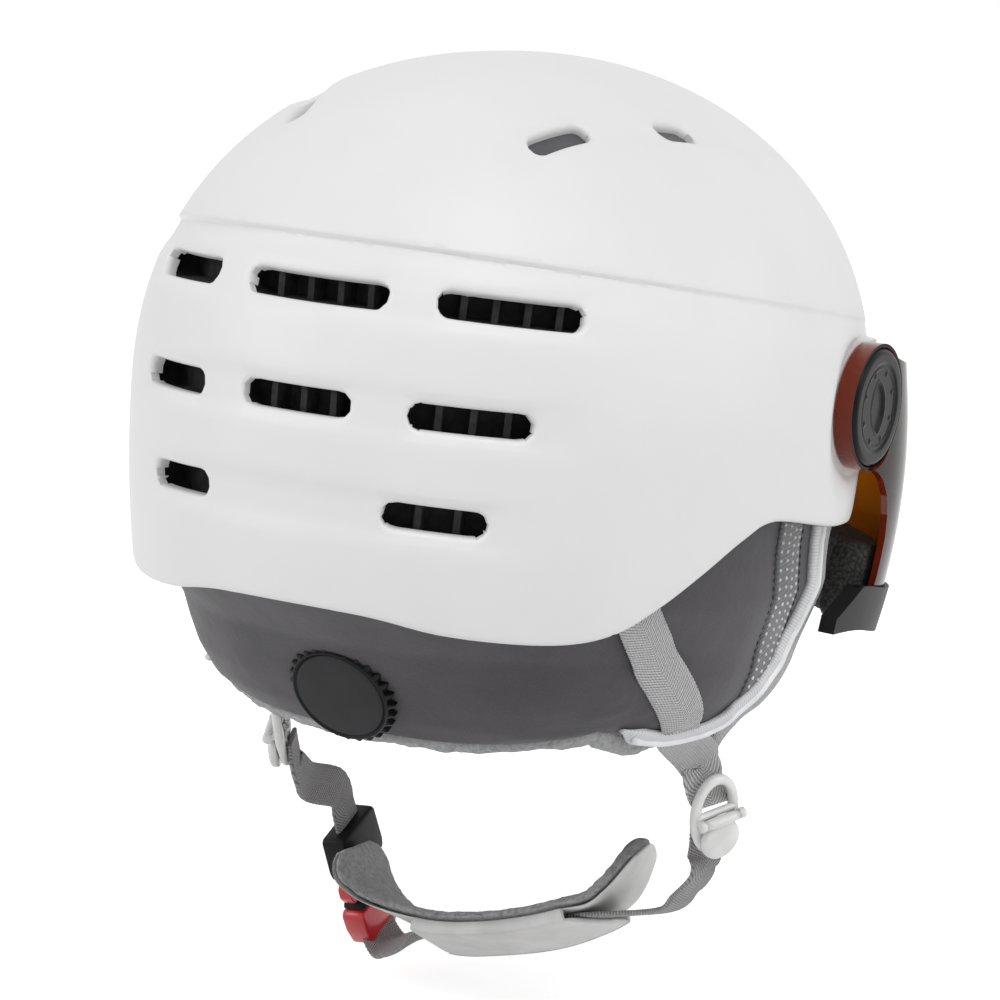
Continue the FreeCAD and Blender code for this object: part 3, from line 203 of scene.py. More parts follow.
def floor_and_backdrop():
    mat, tree, shader = new_material("floor_white", (0.86, 0.86, 0.86), 0.9)
    shader.inputs["Specular IOR Level"].default_value = 0.1
    dust = value_noise(tree, 3.0, 3.0)
    tint(tree, shader, dust, [(0.3, (0.85, 0.85, 0.85)), (0.7, (0.87, 0.87, 0.87))])
    # Where it is seen, the floor glows, so that it joins the white background.
    seen = seen_share(tree)
    glow = node(tree, "ShaderNodeEmission", Strength=0.64)
    mix = tree.nodes.new("ShaderNodeMixShader")
    shade = tree.nodes.new("ShaderNodeAddShader")
    link(tree, shader.outputs[0], shade.inputs[0])
    link(tree, glow.outputs[0], shade.inputs[1])
    link(tree, seen, mix.inputs[0])
    link(tree, shader.outputs[0], mix.inputs[1])
    link(tree, shade.outputs[0], mix.inputs[2])
    link(tree, mix.outputs[0], tree.nodes["Material Output"].inputs["Surface"])
    mesh = bpy.data.meshes.new("floor")
    level = CAD_BOX[0][2] - 0.004
    span = 6.0
    mesh.from_pydata([(-span, -span, level), (span, -span, level), (span, span, level), (-span, span, level)],
                     [], [(0, 1, 2, 3)])
    obj = bpy.data.objects.new("floor", mesh)
    scene.collection.objects.link(obj)
    mesh.materials.append(mat)


def world_light():
    world = bpy.data.worlds.new("studio")
    scene.world = world
    world.use_nodes = True
    tree = world.node_tree
    tree.nodes.clear()
    strength = maths(tree, "ADD", 0.46, maths(tree, "MULTIPLY", seen_share(tree), 0.54))
    background = node(tree, "ShaderNodeBackground", Color=(1, 1, 1, 1))
    link(tree, strength, background.inputs["Strength"])
    output = tree.nodes.new("ShaderNodeOutputWorld")
    link(tree, background.outputs[0], output.inputs[0])


# ---------------------------------------------------------------- materials

def white_shell_material():
    mat, tree, shader = new_material("shell_white", (0.80, 0.80, 0.80), 0.42)
    shader.inputs["Specular IOR Level"].default_value = 0.35
    grain = value_noise(tree, 900.0, 2.0)
    cloud = value_noise(tree, 22.0, 3.0)
    tint(tree, shader, cloud, [(0.3, (0.785, 0.785, 0.785)), (0.7, (0.81, 0.81, 0.81))])
    vary_roughness(tree, shader, cloud, 0.38, 0.12)
    add_bump(tree, shader, grain, 0.12, 0.00008)
    return mat


def foam_bead_material(name, dark, light, scale=260.0):
    mat, tree, shader = new_material(name, dark, 0.85)
    coord = tree.nodes.new("ShaderNodeTexCoord").outputs["Object"]
    cells = node(tree, "ShaderNodeTexVoronoi", Scale=scale)
    cells.feature = "F1"
    link(tree, coord, cells.inputs["Vector"])
    tone = maths(tree, "MULTIPLY", cells.outputs["Distance"], 1.0)
    tint(tree, shader, tone, [(0.25, light), (0.75, dark)])
    add_bump(tree, shader, maths(tree, "SUBTRACT", 1.0, tone), 0.6, 0.0006)
    return mat


def softshell_material():
    mat, tree, shader = new_material("softshell", (0.062, 0.058, 0.063), 0.62)
    shader.inputs["Sheen Weight"].default_value = 0.18
    shader.inputs["Sheen Roughness"].default_value = 0.4
    shader.inputs["Specular IOR Level"].default_value = 0.3
    fine = value_noise(tree, 2600.0, 2.0)
    broad = value_noise(tree, 60.0, 3.0)
    tone = weighted(tree, fine, 0.6, broad, 0.4)
    tint(tree, shader, tone, [(0.3, (0.052, 0.049, 0.053)), (0.7, (0.082, 0.077, 0.083))])
    first = add_bump(tree, shader, fine, 0.35, 0.0002)
    add_bump(tree, shader, value_noise(tree, 130.0, 4.0), 0.25, 0.0012, first)
    return mat


def fleece_material(name, low, high):
    mat, tree, shader = new_material(name, high, 0.95)
    shader.inputs["Sheen Weight"].default_value = 0.5
    shader.inputs["Sheen Roughness"].default_value = 0.6
    shader.inputs["Specular IOR Level"].default_value = 0.1
    heather = value_noise(tree, 520.0, 6.0, rough=0.75)
    fibre = value_noise(tree, 1900.0, 4.0, rough=0.8)
    tone = weighted(tree, heather, 0.65, fibre, 0.35)
    tips = tuple(min(1, v * 1.35) for v in high)
    tint(tree, shader, tone, [(0.36, low), (0.52, high), (0.68, tips)])
    first = add_bump(tree, shader, fibre, 0.8, 0.0006)
    add_bump(tree, shader, heather, 0.7, 0.0012, first)
    return mat


def webbing_material(name, low, high):
    """A twill of slanted cords that turns round at the middle of the strap: a herringbone."""
    mat, tree, shader = new_material(name, high, 0.55)
    shader.inputs["Sheen Weight"].default_value = 0.35
    shader.inputs["Specular IOR Level"].default_value = 0.45
    across, along = weave_place(tree)
    folded = maths(tree, "ABSOLUTE", across)
    slant = maths(tree, "ADD", maths(tree, "MULTIPLY", folded, 0.9), along)
    cord = ridges(tree, slant, 1.25)
    step = ridges(tree, across, 0.85)
    woven = maths(tree, "MULTIPLY", cord, maths(tree, "ADD", 0.45, maths(tree, "MULTIPLY", step, 0.55)))
    wear = value_noise(tree, 700.0, 3.0)
    # The colour follows the cords' relief: painted highlight on the cord tops and painted shade in the
    # grooves between them; the wear noise is random tone.
    tone = weighted(tree, woven, 0.8, wear, 0.25)
    painted_highlight = tuple(min(1, v * 1.25) for v in high)
    tint(tree, shader, tone, [(0.12, low), (0.55, high), (0.9, painted_highlight)])
    add_bump(tree, shader, woven, 0.9, 0.0005)
    return mat


def ribbed_material(name, low, high, pitch=1.1):
    """Elastic band: fine ribs across its length."""
    mat, tree, shader = new_material(name, high, 0.5)
    shader.inputs["Sheen Weight"].default_value = 0.25
    rib = ridges(tree, weave_place(tree)[1], pitch)
    thread = value_noise(tree, 900.0, 3.0)
    tone = weighted(tree, rib, 0.7, thread, 0.3)
    # Rib crests keep the band's colour and the grooves between ribs are darkened: painted shade, following
    # the same relief as the bump; the thread noise is random tone.
    tint(tree, shader, tone, [(0.1, low), (0.6, high)])
    add_bump(tree, shader, tone, 0.5, 0.0003)
    return mat


def plastic_material(name, colour, rough, grain=0.15, clear=0.0, shine=0.5):
    mat, tree, shader = new_material(name, colour, rough)
    shader.inputs["Specular IOR Level"].default_value = shine
    shader.inputs["Coat Weight"].default_value = clear
    shader.inputs["Coat Roughness"].default_value = 0.12
    cloud = value_noise(tree, 90.0, 3.0)
    fine = value_noise(tree, 1500.0, 2.0)
    darker = tuple(v * 0.88 for v in colour)
    lighter = tuple(min(1.0, v * 1.08 + 0.002) for v in colour)
    tint(tree, shader, cloud, [(0.3, darker), (0.7, lighter)])
    vary_roughness(tree, shader, cloud, rough - 0.04, 0.08)
    add_bump(tree, shader, fine, grain, 0.0001)
    return mat


def metal_material(name, colour, rough):
    mat, tree, shader = new_material(name, colour, rough, Metallic=1.0)
    brushed = value_noise(tree, 400.0, 3.0, stretch=(1, 8, 1))
    vary_roughness(tree, shader, brushed, rough - 0.08, 0.16)
    add_bump(tree, shader, brushed, 0.1, 0.0001)
    return mat


def lens_material(name, dark, light, passing, coat, shine=0.5):
    """Amber glass; the outer face carries a dark mirror coat."""
    mat, tree, shader = new_material(name, light, 0.06)
    shader.inputs["Transmission Weight"].default_value = passing
    shader.inputs["IOR"].default_value = 1.2
    shader.inputs["Specular IOR Level"].default_value = shine
    shader.inputs["Coat Weight"].default_value = coat
    shader.inputs["Coat Roughness"].default_value = 0.04
    smear = value_noise(tree, 18.0, 3.0)
    tint(tree, shader, smear, [(0.3, dark), (0.7, light)])
    vary_roughness(tree, shader, smear, 0.03, 0.05)
    return mat


MATS = {
    "shell": white_shell_material(),
    "eps": foam_bead_material("foam_black", (0.012, 0.012, 0.012), (0.03, 0.03, 0.03)),
    "face_foam": foam_bead_material("face_foam", (0.006, 0.006, 0.006), (0.05, 0.05, 0.048), 900.0),
    "softshell": softshell_material(),
    "fleece": fleece_material("fleece_grey", (0.22, 0.22, 0.23), (0.50, 0.50, 0.51)),
    "pad": fleece_material("pad_grey", (0.06, 0.06, 0.065), (0.15, 0.15, 0.155)),
    "webbing": webbing_material("webbing_light", (0.16, 0.155, 0.16), (0.56, 0.55, 0.56)),
    "webbing_dark": webbing_material("webbing_grey", (0.07, 0.068, 0.07), (0.30, 0.29, 0.295)),
    "elastic": ribbed_material("binding_white", (0.50, 0.50, 0.53), (0.70, 0.70, 0.72)),
    "piping": plastic_material("piping_white", (0.83, 0.84, 0.86), 0.4),
    "mesh": ribbed_material("mesh_grey", (0.045, 0.045, 0.05), (0.11, 0.11, 0.115), 1.6),
    "dots": plastic_material("dots_white", (0.62, 0.62, 0.64), 0.35),
    "lens": lens_material("lens_edge", (0.16, 0.014, 0.002), (0.24, 0.026, 0.003), 0.3, 0.6),
    "lens_outside": lens_material("lens_mirror", (0.012, 0.003, 0.002), (0.022, 0.005, 0.003),
                                  0.05, 0.05, 0.1),
    # The inner face's bright amber is painted light: it stands for light shining through the glass, which
    # reaches that face little in this scene.
    "lens_inside": lens_material("lens_amber", (0.78, 0.21, 0.004), (0.86, 0.27, 0.006), 0.12, 0.1),
    "black": plastic_material("trim_black", (0.010, 0.010, 0.011), 0.45, 0.4, 0.0, 0.12),
    "cap": plastic_material("cap_black", (0.006, 0.006, 0.007), 0.3, 0.2, 0.0, 0.12),
    "dial": plastic_material("dial_grey", (0.009, 0.009, 0.010), 0.4, 0.3, 0.0, 0.14),
    "dial_face": plastic_material("dial_face_grey", (0.026, 0.026, 0.028), 0.5, 0.3, 0.0, 0.14),
    "white_gloss": plastic_material("divider_white", (0.78, 0.78, 0.765), 0.22, 0.05, 0.4),
    "coated": plastic_material("coated_white", (0.74, 0.74, 0.73), 0.45, 0.5),
    "red": plastic_material("buckle_red", (0.62, 0.012, 0.02), 0.3, 0.1, 0.3),
    "steel": metal_material("steel", (0.5, 0.5, 0.52), 0.3),
    "brass": metal_material("brass", (0.65, 0.47, 0.2), 0.35),
    "nylon": plastic_material("nylon", (0.05, 0.05, 0.05), 0.45),
    "thread": plastic_material("thread_dark", (0.02, 0.02, 0.022), 0.7),
}


# ---------------------------------------------------------------- mesh helpers

def finish_piece(obj, body, replaced=()):
    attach(obj, body)
    if replaced:
        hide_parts(*replaced)
    return obj


def mesh_object(name, points, faces, mats, uvs=None):
    """A mesh object from points in mm; uvs is one pair per point."""
    mesh = bpy.data.meshes.new(name)
    mesh.from_pydata([tuple(c * MM for c in p) for p in points], [], faces)
    for mat in mats:
        mesh.materials.append(mat)
    if uvs is not None:
        layer = mesh.uv_layers.new(name="weave")
        flat = np.array(uvs, float)[[loop.vertex_index for loop in mesh.loops]]
        layer.data.foreach_set("uv", flat.ravel())
    mesh.polygons.foreach_set("use_smooth", [True] * len(mesh.polygons))
    mesh.validate()
    mesh.update()
    obj = bpy.data.objects.new(name, mesh)
    scene.collection.objects.link(obj)
    return obj


def recalc(obj):
    bm = bmesh.new()
    bm.from_mesh(obj.data)
    bmesh.ops.recalc_face_normals(bm, faces=bm.faces)
    bm.to_mesh(obj.data)
    bm.free()


def sharpen(obj, degrees=35.0):
    obj.data.set_sharp_from_angle(angle=math.radians(degrees))


def bevelled(obj, width, segments=3, degrees=30.0):
    mod = obj.modifiers.new("bevel", "BEVEL")
    mod.width = width * MM
    mod.segments = segments
    mod.limit_method = "ANGLE"
    mod.angle_limit = math.radians(degrees)
    mod.harden_normals = False
    return obj


def catmull(points, per_span):
    """Points on a smooth line through the given ones."""
    p = np.array(points, float)
    ext = np.vstack([2 * p[0] - p[1], p, 2 * p[-1] - p[-2]])
    out = []
    for i in range(1, len(ext) - 2):
        a, b, c, d = ext[i - 1], ext[i], ext[i + 1], ext[i + 2]
        for k in range(per_span):
            t = k / per_span
            out.append(0.5 * ((2 * b) + (c - a) * t + (2 * a - 5 * b + 4 * c - d) * t * t
                              + (3 * b - a - 3 * c + d) * t ** 3))
    out.append(p[-1])
    return np.array(out)


def unit(v):
    v = np.asarray(v, float)
    return v / np.maximum(np.linalg.norm(v, axis=-1, keepdims=True), 1e-12)


def lengths(path):
    steps = np.linalg.norm(np.diff(path, axis=0), axis=1)
    return np.concatenate([[0], np.cumsum(steps)])


def resample(points, across, step):
    """Even spacing along a smooth line, with the across vectors carried along."""
    line = catmull(np.hstack([points, across]), 24)
    run = lengths(line[:, :3])
    count = max(2, int(run[-1] / step))
    at = np.linspace(0, run[-1], count + 1)
    cols = [np.interp(at, run, line[:, k]) for k in range(6)]
    both = np.stack(cols, 1)
    return both[:, :3], unit(both[:, 3:]), at


def ribbon(name, points, across, width, thick, mat, step=0.8, serration=0.22, widths=None, flip=1, dome=0.15):
    """A flat woven strap: a closed strip with slightly domed faces and serrated edges."""
    centre, wide, run = resample(np.array(points, float), np.array(across, float), step)
    tangent = unit(np.gradient(centre, axis=0))
    wide = unit(wide - tangent * np.sum(wide * tangent, 1, keepdims=True))
    normal = np.cross(tangent, wide) * flip
    half = np.full(len(run), width / 2)
    if widths is not None:
        half = np.interp(run, np.linspace(0, run[-1], len(widths)), widths) / 2
    half = half + serration * np.sign(np.sin(run * 2 * math.pi / (2 * step * 1.02))) * 0.5
    around = []
    levels = (-1.0, -0.93, -0.7, -0.35, 0.0, 0.35, 0.7, 0.93, 1.0)
    for u in levels:
        around.append((u, 0.5 + dome * (1 - u * u) if abs(u) < 0.95 else 0.12))
    for u in levels[::-1]:
        around.append((u, -(0.5 + dome * (1 - u * u)) if abs(u) < 0.95 else -0.12))
    points_out, uvs = [], []
    for i in range(len(run)):
        for u, depth in around:
            points_out.append(centre[i] + wide[i] * half[i] * u + normal[i] * depth * thick)
            uvs.append((u * half[i], run[i]))
    n = len(around)
    faces = []
    for i in range(len(run) - 1):
        for k in range(n):
            a, b = i * n + k, i * n + (k + 1) % n
            faces.append((a, b, b + n, a + n))
    faces.append(tuple(range(n))[::-1])
    faces.append(tuple(range((len(run) - 1) * n, len(run) * n)))
    obj = mesh_object(name, points_out, faces, [mat], uvs)
    recalc(obj)
    return obj


def tube(name, path, radius, mat, sides=10, radii=None):
    """A round bar along a path, closed at both ends."""
    path = np.array(path, float)
    count = len(path)
    tangent = unit(np.gradient(path, axis=0))
    ref = np.array([0.0, 0.0, 1.0]) if abs(tangent[0][2]) < 0.9 else np.array([1.0, 0.0, 0.0])
    side_v = unit(np.cross(tangent[0], ref))
    out = []
    radii = radii if radii is not None else [radius] * count
    for i in range(count):
        side_v = unit(side_v - tangent[i] * side_v.dot(tangent[i]))
        other = np.cross(tangent[i], side_v)
        for k in range(sides):
            a = 2 * math.pi * k / sides
            out.append(path[i] + (side_v * math.cos(a) + other * math.sin(a)) * radii[i])
    faces = []
    for i in range(count - 1):
        for k in range(sides):
            a, b = i * sides + k, i * sides + (k + 1) % sides
            faces.append((a, b, b + sides, a + sides))
    faces.append(tuple(range(sides))[::-1])
    faces.append(tuple(range((count - 1) * sides, count * sides)))
    obj = mesh_object(name, out, faces, [mat])
    recalc(obj)
    return obj


def stitches(name, path, normals, mat):
    """A row of short thread stitches, each a small capsule lying on a surface."""
    length, gap, radius = 1.7, 0.9, 0.22
    run = lengths(path)
    points, faces = [], []
    at = 0.3
    while at + length < run[-1]:
        spots = [np.array([np.interp(s, run, path[:, k]) for k in range(3)])
                 for s in np.linspace(at, at + length, 5)]
        normal = unit(np.array([np.interp(at, run, normals[:, k]) for k in range(3)]))
        direction = unit(spots[-1] - spots[0])
        side_v = np.cross(direction, normal)
        for j, spot in enumerate(spots):
            swell = (0.25, 0.9, 1.0, 0.9, 0.25)[j]
            for k in range(6):
                a = math.pi * k / 3
                points.append(spot + normal * (0.1 + radius * swell * math.sin(a)) + side_v * radius * swell
                              * 1.3 * math.cos(a))
        base = len(points) - 30
        for j in range(4):
            for k in range(6):
                a, b = base + j * 6 + k, base + j * 6 + (k + 1) % 6
                faces.append((a, b, b + 6, a + 6))
        faces.append(tuple(range(base, base + 6))[::-1])
        faces.append(tuple(range(base + 24, base + 30)))
        at += length + gap
    return mesh_object(name, points, faces, [mat])


def closed_strip(name, rings, mats, uvs=None, cap=True):
    """A solid from rings of points of equal count: a sleeve with capped ends."""
    rings = np.array(rings)
    count, n = rings.shape[:2]
    faces = []
    for i in range(count - 1):
        for k in range(n):
            a, b = i * n + k, i * n + (k + 1) % n
            faces.append((a, b, b + n, a + n))
    if cap:
        for base, back in ((0, True), ((count - 1) * n, False)):
            ring = list(range(base, base + n))
            half = n // 2
            for k in range(half - 1):
                quad = (ring[k], ring[k + 1], ring[n - 2 - k], ring[n - 1 - k])
                faces.append(quad if back else quad[::-1])
    obj = mesh_object(name, rings.reshape(-1, 3), faces, mats, uvs)
    recalc(obj)
    return obj


# ---------------------------------------------------------------- helmet form

HALF, REAR, FRONT, TOP = 109.0, 132.0, 141.5, 143.0


def by_direction(phi, rear, side, front):
    c = np.cos(phi)
    return side + (np.where(c > 0, rear, front) - side) * c * c


def form(phi, z):
    """Outside of the helmet at a direction (0 = rear, 90 = wearer's right) and a height."""
    phi, z = np.asarray(phi, float), np.asarray(z, float)
    widest = by_direction(phi, 30.0, 41.0, 43.5)
    roundness = by_direction(phi, 2.43, 1.99, 2.23)
    share = np.clip((z - widest) / (TOP - widest), 0, 1)
    above = np.maximum(0, 1 - share ** roundness) ** (1 / roundness)
    below = 1 - by_direction(phi, 0.047, 0.038, 0.038) * ((widest - z) / 60) ** 2
    grow = np.where(z > widest, above, below)
    length = np.where(np.cos(phi) > 0, REAR, FRONT)
    return np.stack([-HALF * grow * np.sin(phi), length * grow * np.cos(phi), z + 0 * phi], -1)


def form_normal(phi, z):
    step = 1e-3
    around = form(phi + step, z) - form(phi - step, z)
    upward = form(phi, np.minimum(z + step, TOP)) - form(phi, z - step)
    n = np.cross(around, upward)
    flat = np.linalg.norm(n, axis=-1) < 1e-12
    n[flat] = (0, 0, 1)
    return unit(n)


def smooth(t):
    t = np.clip(t, 0, 1)
    return t * t * (3 - 2 * t)


def ridge_below(phi, z):
    return 76.3 + 0.142 * form(phi, z)[..., 1] - z


RIM = ((150, -12), (128, -14), (114, -18.7), (93, -20.2), (78, -17.2), (65, -9.2), (52, -0.2), (37, 9.0),
       (22, 13.5), (-9, 9.1), (-26, 6.4), (-52.5, 3.8))


TEMPLE = ((-170, 44), (-109.5, 42), (-79.5, 35), (-67.5, 19.8), (-66.4, 13.0), (-63.5, 8.0), (-59, 4.9))
RIM_LINE = np.vstack([np.array(TEMPLE, float), catmull(RIM, 12)[::-1]])


def rim_height(y):
    """Height of the shell's edge along the side: the sweep, the temple corner and the brow."""
    return np.interp(y, RIM_LINE[:, 0], RIM_LINE[:, 1])


# Both ends of each vent as direction and height.
VENTS = ((-13.1, 78.0, 13.1, 78.0), (-9.6, 46.0, 9.6, 46.0), (20.9, 77.8, 43.9, 75.4),
         (18.5, 45.3, 37.1, 43.9), (15.7, 16.1, 31.5, 14.6))
CROWN_VENTS = (((40.5, 73.0), (47.5, 51.0)), ((57.0, 22.0), (60.8, 6.0)))
VENT_HALF = 3.9
CROWN_HALF = 3.25
HUB_Y, HUB_Z = -49.0, 42.0
SEAT, SEAT_R = 100.2, 22.5
DISH_SLOPE = 8.5 / 17.5


def vent_distance(points, index):
    """Signed distance in mm from the outline of one vent on the wearer's right."""
    if index < len(VENTS):
        a0, z0, a1, z1 = VENTS[index]
        start = form(np.array(math.radians(a0)), np.array(z0))
        end = form(np.array(math.radians(a1)), np.array(z1))
        middle = (start + end) / 2
        out = unit(np.array([middle[0], middle[1], 0.0]))
        half = VENT_HALF
    else:
        (x0, y0), (x1, y1) = CROWN_VENTS[index - len(VENTS)]
        start, end = np.array([-x0, y0, 110.0]), np.array([-x1, y1, 110.0])
        middle = (start + end) / 2
        out = np.array([0.0, 0.0, 1.0])
        half = CROWN_HALF
    along = unit(end - start)
    across = unit(np.cross(out, along))
    rel = points - middle
    lengthwise = rel @ along
    reach = np.linalg.norm(end - start) / 2 - half
    far = np.hypot(np.maximum(np.abs(lengthwise) - reach, 0), rel @ across) - half
    return np.where(rel @ out < -45, 99.0, far)


def groove_depth(phi, z):
    """The soft channel that joins the vents of each row."""
    degrees = np.degrees(phi)
    depth = 0 * z
    for level, slope_at, end, half in ((78.0, 13, 48, 5.6), (46.0, 10, 42, 5.6), (16.1, 10, 36, 5.6)):
        centre = level - np.maximum(0, degrees - slope_at) * 0.085 * (1 if level > 20 else 0.95)
        fade = smooth((end + 6 - degrees) / 12.0)
        off = np.abs(z - centre)
        depth = np.maximum(depth, 1.15 * fade * smooth((half + 2.6 - off) / 3.6))
    tip = np.clip((-degrees + 24) / 40, 0, 1)
    return depth * (0.75 + 0.25 * tip)


def crown_groove(points):
    """The long dished groove that carries the crown vents."""
    line = catmull([(39.0, 82), (43, 66), (48.5, 49), (54.5, 32), (59, 14), (62.5, -8), (64.5, -34),
                    (64.5, -62)], 8)
    x, y = np.abs(points[..., 0]), points[..., 1]
    best = np.full(x.shape, 1e9)
    for a, b in zip(line, line[1:]):
        seg = b - a
        t = np.clip(((x - a[0]) * seg[0] + (y - a[1]) * seg[1]) / (seg @ seg), 0, 1)
        best = np.minimum(best, np.hypot(x - a[0] - seg[0] * t, y - a[1] - seg[1] * t))
    ends = smooth((y + 64) / 22) * smooth((88 - y) / 12)
    above = smooth((points[..., 2] - 84) / 8)
    return 1.5 * ends * above * smooth((7.6 - best) / 4.6)


def ridge_depth(phi, z):
    """The crease round the crown: a crisp overhang, then a dish that rises back to the surface."""
    fade = np.maximum(0, np.cos(phi * 0.56)) ** 1.6
    below = ridge_below(phi, z)
    drop = smooth((below + 0.1) / 1.1)
    back = smooth((13.0 - below) / 9.5)
    return np.where(below > -0.2, 1.75 * fade * drop * back, 0)


def roll(distance, radius):
    """How far a rounded edge has turned inwards at a distance from the opening's outline."""
    d = np.clip(distance, 0, radius)
    return radius - np.sqrt(np.maximum(radius * radius - (radius - d) ** 2, 0))


def shell_field(phi, z):
    """The final outer surface of the shell for arrays of direction and height."""
    base = form(phi, z)
    normal = form_normal(phi, z)
    inset = ridge_depth(phi, z) + np.maximum(groove_depth(phi, z), 0) + crown_groove(base)
    for index in range(len(VENTS) + len(CROWN_VENTS)):
        d = vent_distance(base, index)
        inset = inset + roll(d, 1.7) * (d < 1.7)
    edge = (z - rim_height(base[..., 1]))
    inset = inset + roll(edge, 1.5) * (edge < 1.5)
    out = base - normal * inset[..., None]
    hub = np.hypot(base[..., 1] - HUB_Y, base[..., 2] - HUB_Z) - SEAT_R
    cone = SEAT + np.maximum(hub, 0) * DISH_SLOPE
    width = np.abs(out[..., 0])
    blend_zone = 2.5 * smooth(hub / 4.0) + 1e-6
    overlap = np.clip(0.5 + 0.5 * (cone - width) / blend_zone, 0, 1)
    dished = cone * (1 - overlap) + width * overlap - blend_zone * overlap * (1 - overlap)
    inside = hub < 0
    dished = np.where(inside, SEAT, dished)
    near = (np.abs(base[..., 0]) > 60) & (hub < 30)
    out[..., 0] = np.where(near, np.sign(base[..., 0]) * dished, out[..., 0])
    return out, normal


def split_at(bm, layer_phi, layer_z, field, level):
    """Cut the mesh along one level of a field, so that an edge loop lies on it."""
    verts = list(bm.verts)
    phi = np.array([v[layer_phi] for v in verts])
    z = np.array([v[layer_z] for v in verts])
    value = field(phi, z) - level
    for number, v in enumerate(verts):
        v.index = number
    near = np.abs(value) < 12
    crossing = []
    for edge in bm.edges:
        a, b = edge.verts
        i, j = a.index, b.index
        if not (near[i] and near[j]) or value[i] * value[j] >= 0:
            continue
        crossing.append((edge, a, b, i, j))
    # a dictionary, because it keeps the order in which the vertices were marked
    marked = {}
    if crossing:
        ii = np.array([c[3] for c in crossing])
        jj = np.array([c[4] for c in crossing])
        low, high = np.zeros(len(ii)), np.ones(len(ii))
        for _ in range(12):
            mid = (low + high) / 2
            f = field(phi[ii] + (phi[jj] - phi[ii]) * mid, z[ii] + (z[jj] - z[ii]) * mid) - level
            same = f * value[ii] > 0
            low, high = np.where(same, mid, low), np.where(same, high, mid)
        cut_at = (low + high) / 2
        for (edge, a, b, i, j), t in zip(crossing, cut_at):
            if t < 0.04 or t > 0.96:
                marked[a if t < 0.5 else b] = True
                continue
            _, made = bmesh.utils.edge_split(edge, a, float(t))
            made[layer_phi] = phi[i] + (phi[j] - phi[i]) * t
            made[layer_z] = z[i] + (z[j] - z[i]) * t
            marked[made] = True
    for v in verts:
        if v.is_valid and abs(value[v.index]) < 1e-9:
            marked[v] = True
    for face in dict.fromkeys(face for v in marked for face in v.link_faces):
        on = [v for v in face.verts if v in marked]
        if len(on) == 2:
            i, j = [list(face.verts).index(v) for v in on]
            if abs(i - j) not in (1, len(face.verts) - 1):
                bmesh.utils.face_split(face, on[0], on[1])


